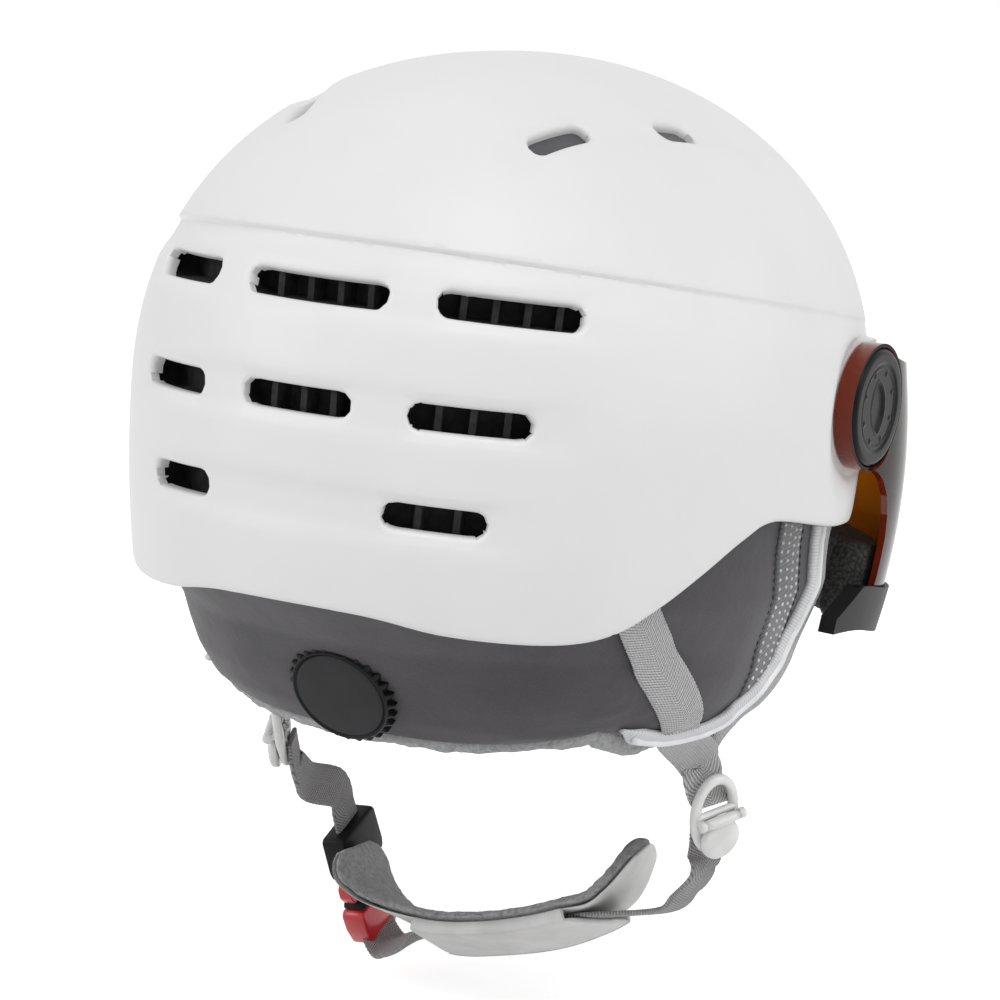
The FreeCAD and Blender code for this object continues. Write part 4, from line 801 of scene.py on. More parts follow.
def build_shell():
    """Half of the shell on a grid, cut along its openings and creases, then mirrored."""
    columns = 150
    low_rows = np.linspace(-24, 40, 27)
    high_rows = 40 + (TOP - 40) * np.sin(np.radians(np.linspace(0, 90, 66)))[1:-1]
    rows = np.concatenate([low_rows, high_rows])
    bm = bmesh.new()
    lp = bm.verts.layers.float.new("phi")
    lz = bm.verts.layers.float.new("height")
    grid = []
    for c in range(columns + 1):
        phi = math.pi * c / columns
        line = []
        for z in rows:
            p = form(np.array(phi), np.array(z))
            v = bm.verts.new(p)
            v[lp], v[lz] = phi, z
            line.append(v)
        grid.append(line)
    pole = bm.verts.new((0, 0, TOP))
    pole[lp], pole[lz] = math.pi / 2, TOP
    for c in range(columns):
        for r in range(len(rows) - 1):
            bm.faces.new((grid[c][r], grid[c][r + 1], grid[c + 1][r + 1], grid[c + 1][r]))
        bm.faces.new((grid[c][-1], pole, grid[c + 1][-1]))
    for index in range(len(VENTS) + len(CROWN_VENTS)):
        for level in (0.0, 0.35, 0.9, 1.7, 3.2):
            split_at(bm, lp, lz, lambda p, h, i=index: vent_distance(form(p, h), i), level)
    for level in (0.0, 0.3, 0.8, 1.5):
        split_at(bm, lp, lz, lambda p, h: h - rim_height(form(p, h)[..., 1]), level)
    for level in (-0.2, 0.25, 0.8, 2.0):
        split_at(bm, lp, lz, lambda p, h: np.where(p < 2.6, ridge_below(p, h), 50.0), level)

    def hub_field(p, h):
        q = form(p, h)
        return np.where(np.abs(q[..., 0]) > 60, np.hypot(q[..., 1] - HUB_Y, q[..., 2] - HUB_Z) - SEAT_R, 40.0)

    for level in (0.0, 0.35, 0.7, 3.0):
        split_at(bm, lp, lz, hub_field, level)

    def keep_value(phi, z):
        q = form(phi, z)
        value = z - rim_height(q[..., 1])
        for index in range(len(VENTS) + len(CROWN_VENTS)):
            value = np.minimum(value, vent_distance(q, index))
        return value

    faces = list(bm.faces)
    centre = np.array([[sum(v[layer] for v in f.verts) / len(f.verts) for layer in (lp, lz)] for f in faces])
    value = keep_value(centre[:, 0], centre[:, 1])
    bmesh.ops.delete(bm, geom=[f for f, k in zip(faces, value) if k < 0], context="FACES")
    verts = list(bm.verts)
    phi = np.array([v[lp] for v in verts])
    z = np.array([v[lz] for v in verts])
    place, normal = shell_field(phi, z)
    level = keep_value(phi, z)
    rim_level = z - rim_height(form(phi, z)[..., 1])
    seam = [p < 1e-6 or p > math.pi - 1e-6 for p in phi]
    for k, v in enumerate(verts):
        v.co = place[k]
        v.normal = Vector(normal[k])
        v.index = k
    border = [e for e in bm.edges if e.is_boundary and not all(seam[v.index] for v in e.verts)]
    info = {v: (place[v.index], normal[v.index], rim_level[v.index]) for e in border for v in e.verts}
    current = border
    previous = {v: v for v in info}
    # (inwards and upwards at the rim), (inwards at a vent), one step after the other
    for rim_in, rim_up, vent_in in ((0.8, 0.15, 0.8), (1.5, 1.0, 1.6), (2.0, 9.0, 2.5)):
        made = bmesh.ops.extrude_edge_only(bm, edges=current)["geom"]
        new_edges = [g for g in made if isinstance(g, bmesh.types.BMEdge)]
        new_verts = [g for g in made if isinstance(g, bmesh.types.BMVert)]
        lookup = {}
        old = {tuple(round(c, 6) for c in v.co): v for v in previous}
        for v in new_verts:
            source = old[tuple(round(c, 6) for c in v.co)]
            lookup[v] = previous[source]
        for v, origin in lookup.items():
            p, n, rim_gap = info[origin]
            inwards, lift = (rim_in, rim_up) if rim_gap < 0.05 else (vent_in, 0.0)
            v.co = Vector(p) - Vector(n) * inwards + Vector((0, 0, lift))
        previous = lookup
        current = [e for e in new_edges if all(v in lookup for v in e.verts)]
    bmesh.ops.remove_doubles(bm, verts=bm.verts, dist=1e-4)
    mirrored = bmesh.ops.duplicate(bm, geom=bm.verts[:] + bm.edges[:] + bm.faces[:])["geom"]
    for g in mirrored:
        if isinstance(g, bmesh.types.BMVert):
            g.co.x = -g.co.x
    bmesh.ops.reverse_faces(bm, faces=[g for g in mirrored if isinstance(g, bmesh.types.BMFace)])
    for v in bm.verts:
        if abs(v.co.x) < 0.02:
            v.co.x = 0.0
    bmesh.ops.remove_doubles(bm, verts=bm.verts, dist=1e-3)
    bmesh.ops.triangulate(bm, faces=[f for f in bm.faces if len(f.verts) > 4])
    bmesh.ops.recalc_face_normals(bm, faces=bm.faces)
    bmesh.ops.scale(bm, verts=bm.verts, vec=(MM, MM, MM))
    mesh = bpy.data.meshes.new("shell_skin")
    bm.to_mesh(mesh)
    bm.free()
    for name in ("phi", "height"):
        mesh.attributes.remove(mesh.attributes[name])
    mesh.materials.append(MATS["shell"])
    mesh.polygons.foreach_set("use_smooth", [True] * len(mesh.polygons))
    obj = bpy.data.objects.new("shell_skin", mesh)
    scene.collection.objects.link(obj)
    sharpen(obj, 50)
    finish_piece(obj, "helmet", ["outer_shell"])


# ---------------------------------------------------------------- soft pads

PAD_LEVELS = np.array([(10.0, 98.0, 119.0, 2.1), (-14.0, 96.0, 117.0, 2.1), (-22.0, 93.0, 108.0, 2.15),
                       (-30.0, 90.0, 99.0, 2.2), (-38.0, 88.0, 93.0, 2.3), (-46.0, 84.5, 88.0, 2.4),
                       (-54.0, 79.0, 83.0, 2.4), (-60.0, 72.0, 78.0, 2.3), (-70.0, 66.0, 72.0, 2.3)])
SPLIT_Y, EAR_FRONT, EAR_TIP, EAR_TIP_Y = 50.0, -37.0, -58.5, 25.0


def pad_oval(z):
    return [np.interp(-np.asarray(z, float), -PAD_LEVELS[:, 0], PAD_LEVELS[:, k]) for k in (1, 2, 3)]


def ear_surface(side, y, z):
    half, rear, square = pad_oval(z)
    y = np.asarray(y, float)
    reach = np.where(y > 0, rear, 1.6 * rear)
    bow = np.maximum(0, 1 - np.abs(y / reach) ** square) ** (1 / square)
    swell = 1 + 0.07 * np.clip((45 - y) / 35, 0, 1) * np.clip(-z / 60, 0, 1)
    return np.stack([side * half * bow * swell, y + 0 * z, z + 0 * y], -1)


def neck_surface(s, z):
    """s runs from -1, the join with the right ear pad, to 1, the join with the left one."""
    half, rear, square = pad_oval(z)
    phi = s * np.arccos(np.clip(SPLIT_Y / rear, 0, 1) ** (square / 2))
    x = half * np.sign(phi) * np.abs(np.sin(phi)) ** (2 / square)
    return np.stack([x, rear * np.cos(phi) ** (2 / square), z + 0 * s], -1)


def ear_low(y):
    y = np.asarray(y, float)
    share = np.clip((EAR_TIP_Y - y) / (EAR_TIP_Y - EAR_FRONT), 0, 1)
    front = EAR_TIP + (10.5 - EAR_TIP) * (1 - (1 - share ** 2.6) ** 0.625) * 0.8
    rear = EAR_TIP + (y - EAR_TIP_Y) * 0.14 + 1.5 * np.exp(-((y - 47) / 9) ** 2)
    return np.where(y > EAR_TIP_Y, rear, front)


def pad_top(y):
    return np.minimum(np.minimum(rim_height(y - 8), rim_height(y - 2)), rim_height(y - 5)) + 4.2


def pad_columns():
    """(kind, value) of each upright line of the pads, from the right ear's front to the left ear's front."""
    ear = list(np.linspace(EAR_FRONT, SPLIT_Y, 50))
    neck = list(np.linspace(-1, 1, 109))[1:-1]
    return [(RIGHT, y) for y in ear] + [(0, s) for s in neck] + [(LEFT, y) for y in ear[::-1]]


def pad_grid(rows):
    """Outer surface of the pads as columns by rows, with its normals."""
    grid = []
    for kind, value in pad_columns():
        if kind:
            top, low = float(pad_top(value)), float(ear_low(value))
        else:
            y = float(neck_surface(np.array(value), np.array(-12.0))[1])
            top, low = float(pad_top(y)), -60 + 6.3 * value ** 2 * abs(value) + 1.4 * abs(value) ** 8
        z = np.linspace(top, low, rows)
        grid.append(ear_surface(kind, value, z) if kind else neck_surface(value + 0 * z, z))
    grid = np.array(grid)
    along = np.gradient(grid, axis=0)
    down = np.gradient(grid, axis=1)
    normal = unit(np.cross(down, along))
    outward = np.sign(np.sum(normal * (grid * [1, 1, 0]), -1).mean())
    return grid, normal * outward


def wobble(points, scale, amount, seed=0.0):
    """A smooth random height per point, in mm."""
    start = Vector((seed, seed * 1.7, 3.1))
    return np.array([noise.noise(Vector(p) / scale + start) for p in points]) * amount


def make_softshell():
    rows = 34
    grid, normal = pad_grid(rows)
    count = len(grid)
    flat = grid.reshape(-1, 3)
    lift = wobble(flat, 34.0, 0.7) + wobble(flat, 11.0, 0.16, 5.0)
    share = np.tile(np.linspace(0, 1, rows), count)
    creases = 0.25 * np.sin((flat[:, 2] + flat[:, 1] * 0.3) * 1.2 + 2 * wobble(flat, 25.0, 1.0, 9.0))
    creases *= smooth((share - 0.72) / 0.2) * np.exp(-((np.abs(flat[:, 1]) - 45) / 22) ** 2)
    lift = (lift + creases) * (1 - smooth((share - 0.93) / 0.07))
    outer = grid + normal * lift.reshape(count, rows, 1)
    rings = []
    for c in range(count):
        thick = 2.4 + 2.4 * smooth((1 - np.linspace(0, 1, rows)) / 0.22)
        ring = [outer[c, r] for r in range(rows)]
        last, n = outer[c, -1], normal[c, -1]
        down = unit(outer[c, -1] - outer[c, -2])
        ring[-1] = last - down * 1.2
        for a in (0.3, 0.7, 1.1, math.pi / 2, 2.0, 2.5, 2.9):
            ring.append(last - down * 1.2 - n * 1.5 * (1 - math.cos(a)) + down * 1.3 * math.sin(a))
        for r in range(rows - 1, -1, -2):
            ring.append(grid[c, r] - normal[c, r] * thick[r])
        rings.append(ring)
    obj = closed_strip("softshell_wrap", rings, [MATS["softshell"]])
    finish_piece(obj, "helmet", ["neck_pad", "ear_pad_left", "ear_pad_right"])


def make_fleece():
    rows = 22
    grid, normal = pad_grid(rows)
    rings = []
    for c, (kind, value) in enumerate(pad_columns()):
        if kind:
            drop = 3.4 + 3.6 * math.exp(-((value - 38) / 12) ** 2)
            drop *= 0.35 + 0.65 * float(smooth(np.array((value + 34) / 20.0)))
        else:
            drop = 3.2 + 1.6 * float(smooth(np.array((abs(value) - 0.8) / 0.2)))
        ring = []
        for r in range(rows - 1):
            ring.append(grid[c, r] - normal[c, r] * (7.6 - 3.0 * smooth((r / rows - 0.86) / 0.14)))
        last, n = grid[c, -1], normal[c, -1]
        inward = -unit(n * np.array([1, 1, 0]))
        tall = 1.9 + 0.55 * drop
        centre = last + inward * 4.4 + np.array([0, 0, 1.5 - 0.35 * drop])
        for a in np.linspace(2.3, -1.9, 14):
            swell = 1 + 0.06 * math.sin(c * 0.7) + 0.05 * math.sin(c * 0.23 + 2)
            ring.append(centre - inward * 2.9 * swell * math.cos(a - 0.35)
                        + np.array([0, 0, tall * swell * math.sin(a - 0.35)]))
        inner = 12.0
        for r in range(rows - 1, -1, -1):
            ring.append(grid[c, r] - normal[c, r] * inner)
        rings.append(ring)
    rings = np.array(rings)
    obj = closed_strip("fleece_lining", rings, [MATS["fleece"]])
    fuzz(obj, 0.28, 0.9)
    finish_piece(obj, "helmet", ["neck_fleece", "ear_fleece_left", "ear_fleece_right"])


def fuzz(obj, amount, scale):
    """A finely uneven surface, as brushed cloth has."""
    mesh = obj.data
    count = len(mesh.vertices)
    place, normal = np.zeros(count * 3, "f"), np.zeros(count * 3, "f")
    mesh.vertices.foreach_get("co", place)
    mesh.vertex_normals.foreach_get("vector", normal)
    place, normal = place.reshape(-1, 3), normal.reshape(-1, 3)
    spots = [Vector(p) / MM for p in place.tolist()]
    lift = np.array([noise.noise(p / scale) + noise.noise(p / (scale * 4.3)) * 0.9 for p in spots]) * amount
    mesh.vertices.foreach_set("co", (place + normal * lift[:, None] * MM).ravel())
    mesh.update()


def surface_path(side, route, lift):
    """Points and outward normals of a line that lies on the ear pad; route is (y, z) pairs."""
    line = catmull(route, 12)
    y, z = line[:, 0], line[:, 1]
    p = ear_surface(side, y, z)
    dy = ear_surface(side, y + 0.5, z) - ear_surface(side, y - 0.5, z)
    dz = ear_surface(side, y, z + 0.5) - ear_surface(side, y, z - 0.5)
    n = unit(np.cross(dy, dz))
    n = n * np.sign(n[:, :1] * side)
    reach = max(3, min(12, len(n) // 4))
    for _ in range(3):
        wide = np.concatenate([np.repeat(n[:1], reach, 0), n, np.repeat(n[-1:], reach, 0)])
        window = np.ones(2 * reach + 1) / (2 * reach + 1)
        n = unit(np.stack([np.convolve(wide[:, k], window, "valid") for k in range(3)], 1))
    return p + n * lift, n


def laid_ribbon(name, side, route, lift, width, thick, mat, tail=(), tail_across=None, **more):
    """A strap that lies flat on the ear pad and may run on through free points."""
    p, n = surface_path(side, route, lift)
    share = np.linspace(0, 1, len(p))[:, None]
    n = unit(n[:1] * (1 - share) + n[-1:] * share)
    tangent = unit(np.gradient(p, axis=0))
    wide = unit(np.cross(n, tangent))
    points, across = list(p[::6]), list(wide[::6])
    for spot in tail:
        points.append(np.array(spot))
        across.append(np.array(tail_across) * np.sign(np.dot(across[len(p[::6]) - 1], tail_across)))
    return ribbon(name, points, across, width, thick, mat, **more)


def divider_frame(side):
    up = unit(np.array([side * 0.08, 0.27, 0.96]))
    out = np.array([side * 0.9, 0.40, 0.0])
    out = unit(out - up * out.dot(up))
    wide = np.cross(up, out)
    return np.array([side * 79.025, -15.0, -88.0]), wide, up, out


def at_divider(side, x, y, z):
    place, wide, up, out = divider_frame(side)
    return place + wide * x + up * y + out * z


REAR_ROUTE = ((66.5, -8.5), (61.0, -15.5), (51.5, -24.5), (40.5, -35.5), (28.5, -47.0), (18.5, -56.5))
FRONT_ROUTE = ((-40.0, 6.0), (-38.0, -7.0), (-36.5, -20.0), (-33.0, -32.0), (-27.0, -45.0), (-20.5, -57.0))


def make_straps():
    for side, word in SIDES:
        wide = divider_frame(side)[1]
        tail = [at_divider(side, 2.5 * side, 18.0, -5.6), at_divider(side, 2.0 * side, 11.5, -4.1),
                at_divider(side, 0, 5.5, -3.2), at_divider(side, 0, 2.4, -1.2)]
        obj = laid_ribbon("rear_strap_" + word, side, REAR_ROUTE, 1.1, 15.0, 1.25, MATS["webbing"],
                          tail, wide, flip=1)
        finish_piece(obj, "helmet", ["rear_strap_" + word])
        tail = [at_divider(side, -3.0 * side, 18.0, -8.6), at_divider(side, -3.0 * side, 11.5, -6.6),
                at_divider(side, -2.5 * side, 5.0, -5.6)]
        obj = laid_ribbon("front_strap_" + word, side, FRONT_ROUTE, 1.1, 10.5, 1.25, MATS["webbing"],
                          tail, wide)
        finish_piece(obj, "helmet", ["front_strap_" + word])


def make_ear_band(side, word):
    """Elastic band with a raised piping along the ear's lower and front edge."""
    hem = np.concatenate([np.linspace(45, -20, 80), np.linspace(-20.5, -35.8, 60)])
    upright = 26
    ys = np.concatenate([hem, np.full(upright, -35.8)])
    zs = ear_low(ys)
    zs[len(hem):] = np.linspace(zs[len(hem) - 1] + 0.7, 6.0, upright)
    edge = ear_surface(side, ys, zs)
    tangent = unit(np.gradient(edge, axis=0))
    dy = ear_surface(side, ys + 0.5, zs) - ear_surface(side, ys - 0.5, zs)
    dz = ear_surface(side, ys, zs + 0.5) - ear_surface(side, ys, zs - 0.5)
    n = unit(np.cross(dy, dz))
    n = n * np.sign(n[:, :1] * side)
    for _ in range(6):
        n[1:-1] = unit(n[:-2] + n[1:-1] * 2 + n[2:])
        tangent[1:-1] = unit(tangent[:-2] + tangent[1:-1] * 2 + tangent[2:])
    up = np.cross(n, tangent)
    up = up * np.sign(np.sum(up * np.array([0, 0.6, 1.0]), 1, keepdims=True))
    profile = ((6.7, 0.1), (6.9, 1.2), (6.6, 1.9), (5.6, 2.3), (4.4, 2.6), (3.2, 2.7), (2.0, 2.7),
               (0.8, 2.5), (-0.2, 2.0), (-0.9, 1.0), (-1.1, -0.6), (-0.7, -2.4), (1.2, -2.8), (3.4, -1.0))
    rings, uvs = [], []
    run = lengths(edge)
    for i in range(len(ys)):
        taper = 0.25 + 0.75 * float(smooth(np.array(i / 9.0)))
        rings.append([edge[i] + up[i] * (3 + (u - 3) * taper) + n[i] * lift * taper
                      for u, lift in profile])
        uvs += [(u, run[i]) for u, _ in profile]
    obj = closed_strip("ear_band_" + word, rings, [MATS["elastic"]], uvs)
    finish_piece(obj, "helmet", ["ear_binding_" + word])
    pipe = tube("ear_piping_" + word, (edge + up * 3.0 + n * 2.6)[5::2], 1.15, MATS["piping"], sides=12)
    finish_piece(pipe, "helmet")


def make_ear_stripe(side, word):
    """Dotted mesh stripe between two sewn seams."""
    top_z = float(pad_top(-10)) - 1
    low_z = [float(ear_low(y)) + 6.5 for y in (-2, -19)]
    rows, cols = 60, 9
    grid = np.zeros((rows, cols, 3))
    for i in range(rows):
        t = i / (rows - 1)
        for j in range(cols):
            u = j / (cols - 1)
            y = -2 - 17 * u - 2.0 * t
            z = top_z + (low_z[0] + (low_z[1] - low_z[0]) * u - top_z) * t
            bulge = 0.55 + 0.5 * math.sin(math.pi * u)
            grid[i, j] = ear_surface(side, y, z) + np.array([side * bulge, 0, 0])
    outer = grid
    inner = grid - np.array([side * 1.2, 0, 0])
    rings = [list(outer[i]) + list(inner[i][::-1]) for i in range(rows)]
    uvs = [(0.0, i * 1.0) for i in range(rows) for _ in range(2 * cols)]
    obj = closed_strip("ear_mesh_stripe_" + word, rings, [MATS["mesh"]], uvs)
    finish_piece(obj, "helmet", ["ear_mesh_" + word])
    dots, faces = [], []
    for i in range(2, rows - 3, 3):
        for j in (1, 3, 5, 7):
            a = outer[i + (1 if j in (3, 7) else 0), j]
            radius = 0.62 + 0.16 * noise.noise(Vector(a) * 0.9)
            base = len(dots)
            for ring_r, lift in ((1.0, 0.0), (0.75, 0.32), (0.0, 0.46)):
                if ring_r == 0:
                    dots.append(a + np.array([side * lift, 0, 0]))
                    continue
                for k in range(8):
                    t = math.pi * k / 4
                    dots.append(a + np.array([side * lift, radius * ring_r * math.cos(t),
                                              radius * ring_r * math.sin(t)]))
            for k in range(8):
                faces.append((base + k, base + (k + 1) % 8, base + 8 + (k + 1) % 8, base + 8 + k))
                faces.append((base + 8 + k, base + 8 + (k + 1) % 8, base + 16))
    obj = mesh_object("ear_dots_" + word, dots, faces, [MATS["dots"]])
    finish_piece(obj, "helmet")
    for tag, edge, off in (("rear", 0, 1.4), ("front", cols - 1, -1.4)):
        line = outer[:, edge] + np.array([side * -0.25, off, 0])
        sewn = stitches("ear_stitch_%s_%s" % (tag, word), line, np.tile([side, 0.0, 0.0], (rows, 1)),
                        MATS["thread"])
        finish_piece(sewn, "helmet")


# ---------------------------------------------------------------- fit dial

def dial_frame():
    tilt = math.radians(28)
    n = np.array([0, math.cos(tilt), -math.sin(tilt)])
    return np.array([0, 90.0, -48.0]), np.array([-1.0, 0, 0]), np.cross(n, [-1.0, 0, 0]), n


def lathe(name, profile, origin, ex, ey, ez, mat, sides=96, wave=None):
    """Turned about ez from pairs of radius and height; wave(angle, index) scales the radius."""
    points, faces = [], []
    for i, (radius, height) in enumerate(profile):
        for k in range(sides):
            a = 2 * math.pi * k / sides
            r = radius * (wave(a, i) if wave else 1.0)
            points.append(origin + ex * r * math.cos(a) + ey * r * math.sin(a) + ez * height)
    for i in range(len(profile) - 1):
        for k in range(sides):
            a, b = i * sides + k, i * sides + (k + 1) % sides
            faces.append((a, b, b + sides, a + sides))
    for base in (0, (len(profile) - 1) * sides):
        if profile[base // sides][0] < 0.2:
            centre = len(points)
            points.append(origin + ez * profile[base // sides][1])
            faces += [(base + k, base + (k + 1) % sides, centre) for k in range(sides)]
    obj = mesh_object(name, points, faces, [mat])
    recalc(obj)
    return obj


def make_dial():
    place, ex, ey, ez = dial_frame()
    teeth = 28

    def saw(angle, index):
        if index in (0, 1, 8, 9, 10, 11, 12, 13):
            return 1.0
        t = (angle * teeth / (2 * math.pi)) % 1.0
        rise = smooth(np.array(t / 0.78)) if t < 0.78 else 1 - smooth(np.array((t - 0.78) / 0.22))
        return 0.895 + 0.105 * float(rise)

    profile = [(10.0, -8.4), (16.3, -8.3), (17.3, -7.9), (18.0, -7.3), (18.0, -5.0), (18.0, -2.6),
               (17.8, -1.9), (17.2, -1.35), (16.25, -0.95), (15.9, -0.35), (15.5, -0.25), (15.2, -0.75),
               (14.9, -0.9), (14.6, -0.62)]
    obj = lathe("dial_rim", profile, place, ex, ey, ez, MATS["dial"], sides=28 * 14, wave=saw)
    sharpen(obj, 38)
    finish_piece(obj, "fit_dial", ["dial_knob"])
    face = [(14.7, -1.0), (14.7, -0.66), (14.45, -0.52), (13.2, -0.42), (10.0, -0.24), (6.0, -0.1),
            (2.5, -0.03), (0.1, -0.01)]
    obj = lathe("dial_face", face, place, ex, ey, ez, MATS["dial_face"], sides=96)
    finish_piece(obj, "fit_dial")


# ---------------------------------------------------------------- face shield

def shield_point(angle, z, inset):
    drop = z - 15.0
    half = 108.0 - 0.002 * drop * drop - inset
    reach = 111.0 - 0.0042 * drop * drop - inset
    power = 2 / 2.15
    s, c = np.sin(angle), np.cos(angle)
    return np.stack([half * np.sign(s) * np.abs(s) ** power,
                     -50 - reach * np.sign(c) * np.abs(c) ** power, z + 0 * s], -1)


def lens_low(degrees):
    return -38.0 + 24.0 * math.exp(-(degrees / 22.0) ** 2) + 11 * (abs(degrees) / 90.0) ** 4


def make_face_foam():
    columns, rows = 90, 16
    rings = []
    for i in range(columns + 1):
        degrees = -81.5 + 163 * i / columns
        angle = math.radians(degrees)
        low = lens_low(degrees) + 1.2
        top = low + 25.6
        soft = 2.6
        ring = []
        outline = []
        for t in np.linspace(0, 1, rows):
            outline.append((4.7, low + soft + (top - low - 2 * soft) * t))
        for a in np.linspace(math.pi, math.pi / 2, 5)[1:-1]:
            outline.append((4.7 + soft + soft * math.cos(a), top - soft + soft * math.sin(a)))
        outline.append((17.1 - soft, top))
        for a in np.linspace(math.pi / 2, 0, 5)[1:-1]:
            outline.append((17.1 - soft + soft * math.cos(a), top - soft + soft * math.sin(a)))
        for t in np.linspace(1, 0, rows):
            outline.append((17.1 + 0.7 * math.sin(math.pi * t), low + soft + (top - low - 2 * soft) * t))
        for a in np.linspace(0, -math.pi / 2, 5)[1:-1]:
            outline.append((17.1 - soft + soft * math.cos(a), low + soft + soft * math.sin(a)))
        outline.append((4.7 + soft, low))
        for a in np.linspace(-math.pi / 2, -math.pi, 5)[1:-1]:
            outline.append((4.7 + soft + soft * math.cos(a), low + soft + soft * math.sin(a)))
        shrink = smooth(np.array(min(i, columns - i) / 2.0))
        mid = (10.9, (low + top) / 2)
        for inset, z in outline:
            k = 0.90 + 0.10 * float(shrink)
            ring.append(shield_point(np.array(angle), np.array(mid[1] + (z - mid[1]) * k),
                                     mid[0] + (inset - mid[0]) * k))
        rings.append(ring)
    obj = closed_strip("face_foam_pad", rings, [MATS["face_foam"]])
    fuzz(obj, 0.12, 1.1)
    finish_piece(obj, "visor", ["visor_foam"])


def make_hub_caps():
    for side, word in SIDES:
        origin = np.array([side * 100.0, HUB_Y, HUB_Z])
        ex, ey, ez = np.array([0, -1.0, 0]), np.array([0, 0, 1.0]), np.array([float(side), 0, 0])
        rings, sides = 44, 120
        points, faces = [], []
        radii = np.linspace(0.0, 16.8, rings)[1:]

        def height(x, y):
            r = math.hypot(x, y)
            h = 7.45
            h -= 0.55 * (1 - float(smooth(np.array((r - 13.6) / 0.8))))
            ring_line = abs(r - 12.6)
            h += 0.28 * math.exp(-(ring_line / 0.28) ** 2)
            # a leaf-shaped dish, bounded by two arcs
            d1 = 9.6 - math.hypot(x + 4.6, y + 0.5)
            d2 = 9.6 - math.hypot(x - 4.6, y - 0.5)
            inside = min(d1, d2)
            h -= 0.8 * float(smooth(np.array((inside + 0.2) / 1.6)))
            h += 0.22 * math.exp(-((inside + 0.3) / 0.3) ** 2)
            angle = math.degrees(math.atan2(y, x)) % 45
            if 10.2 < r < 11.9 and abs(angle - 22.5) < 2.2:
                h += 0.3
            return h

        points.append(origin + ez * height(0, 0))
        for r in radii:
            for k in range(sides):
                a = 2 * math.pi * k / sides
                x, y = r * math.cos(a), r * math.sin(a)
                points.append(origin + ex * x + ey * y + ez * height(x, y))
        for r, h in ((17.3, 7.40), (17.9, 7.15), (18.35, 6.7), (18.6, 6.1), (18.68, 5.2), (18.68, 2.8)):
            for k in range(sides):
                a = 2 * math.pi * k / sides
                points.append(origin + ex * r * math.cos(a) + ey * r * math.sin(a) + ez * h)
        faces += [(0, 1 + k, 1 + (k + 1) % sides) for k in range(sides)]
        total = (len(points) - 1) // sides
        for i in range(total - 1):
            for k in range(sides):
                a, b = 1 + i * sides + k, 1 + i * sides + (k + 1) % sides
                faces.append((a, b, b + sides, a + sides))
        obj = mesh_object("hub_cap_disc_" + word, points, faces, [MATS["cap"]])
        recalc(obj)
        finish_piece(obj, "visor", ["hub_cap_" + word])


# ---------------------------------------------------------------- strap dividers

def outline_ring(count):
    """An egg-shaped outline."""
    top_r, low_r, top_y, low_y = 10.5, 8.5, 3.5, -5.5
    points = []
    for k in range(count):
        a = 2 * math.pi * k / count
        s, c = math.sin(a), math.cos(a)
        r = low_r + (top_r - low_r) * (0.5 + 0.5 * s)
        points.append((r * c, (top_y + low_y) / 2 + s * (r + (top_y - low_y) / 2)))
    return points


def make_dividers():
    for side, word in SIDES:
        count = 72
        outer = outline_ring(count)
        rings = []
        for x, y in outer:
            edge = np.array([x, y])
            n = unit(edge - np.array([0, -0.5]))
            ring = []
            half_w = 1.75 if y > -3 else 1.75 + 3.4 * float(smooth(np.array((-3 - y) / 5.0)))
            mid = edge - n * half_w
            for a in np.linspace(0, 2 * math.pi, 15)[:-1]:
                px = math.copysign(abs(math.cos(a)) ** 0.75, math.cos(a)) * half_w
                pz = math.copysign(abs(math.sin(a)) ** 0.75, math.sin(a)) * 1.6
                q = mid + n * px
                ring.append(at_divider(side, q[0], q[1], pz))
            rings.append(ring)
        rings.append(rings[0])
        obj = closed_strip("divider_ring_" + word, rings, [MATS["white_gloss"]], cap=False)
        finish_piece(obj, "helmet", ["divider_" + word])
        # crossbar that the straps turn round
        bar = [at_divider(side, x, 0.9, 0.6) for x in np.linspace(-8.4, 8.4, 9)]
        obj = tube("divider_bar_" + word, bar, 1.3, MATS["white_gloss"], sides=14)
        finish_piece(obj, "helmet")
        for sign, tag in ((-1, "a"), (1, "b")):
            lug = [at_divider(side, sign * x, -0.4, 3.9) for x in (6.95, 7.2, 8.8, 9.15)]
            obj = tube("divider_lug_%s_%s" % (tag, word), lug, 1.7, MATS["white_gloss"], sides=18,
                       radii=[1.5, 1.75, 1.75, 1.35])
            finish_piece(obj, "helmet")
            post = [at_divider(side, sign * 7.7, -0.4, z) for z in (0.6, 1.8, 2.9, 3.9)]
            obj = tube("divider_post_%s_%s" % (tag, word), post, 1.0, MATS["white_gloss"], sides=12)
            finish_piece(obj, "helmet")
        # oval cam lid
        points, faces = [], []
        levels = ((0.93, 3.62), (1.0, 4.0), (1.02, 4.8), (1.0, 5.7), (0.94, 6.25), (0.82, 6.5),
                  (0.55, 6.75), (0.25, 6.85))
        sides = 56
        for scale, z in levels:
            for k in range(sides):
                a = 2 * math.pi * k / sides
                x, y = 7.35 * math.cos(a), 6.6 * math.sin(a)
                points.append(at_divider(side, x * scale, -7.3 + y * scale, z - 1.6))
        for i in range(len(levels) - 1):
            for k in range(sides):
                a, b = i * sides + k, i * sides + (k + 1) % sides
                faces.append((a, b, b + sides, a + sides))
        faces.append(tuple(range(sides)))
        faces.append(tuple(range((len(levels) - 1) * sides, len(levels) * sides)))
        obj = mesh_object("cam_lid_oval_" + word, points, faces, [MATS["white_gloss"]])
        recalc(obj)
        sharpen(obj, 60)
        finish_piece(obj, "cam_lid_" + word, ["cam_lid_" + word])
        knuckle = [at_divider(side, x, -0.6, 3.9) for x in np.linspace(-6.5, 6.5, 7)]
        obj = tube("cam_lid_knuckle_" + word, knuckle, 1.85, MATS["white_gloss"], sides=18,
                   radii=[1.5, 1.8, 1.85, 1.85, 1.85, 1.8, 1.5])
        finish_piece(obj, "cam_lid_" + word)


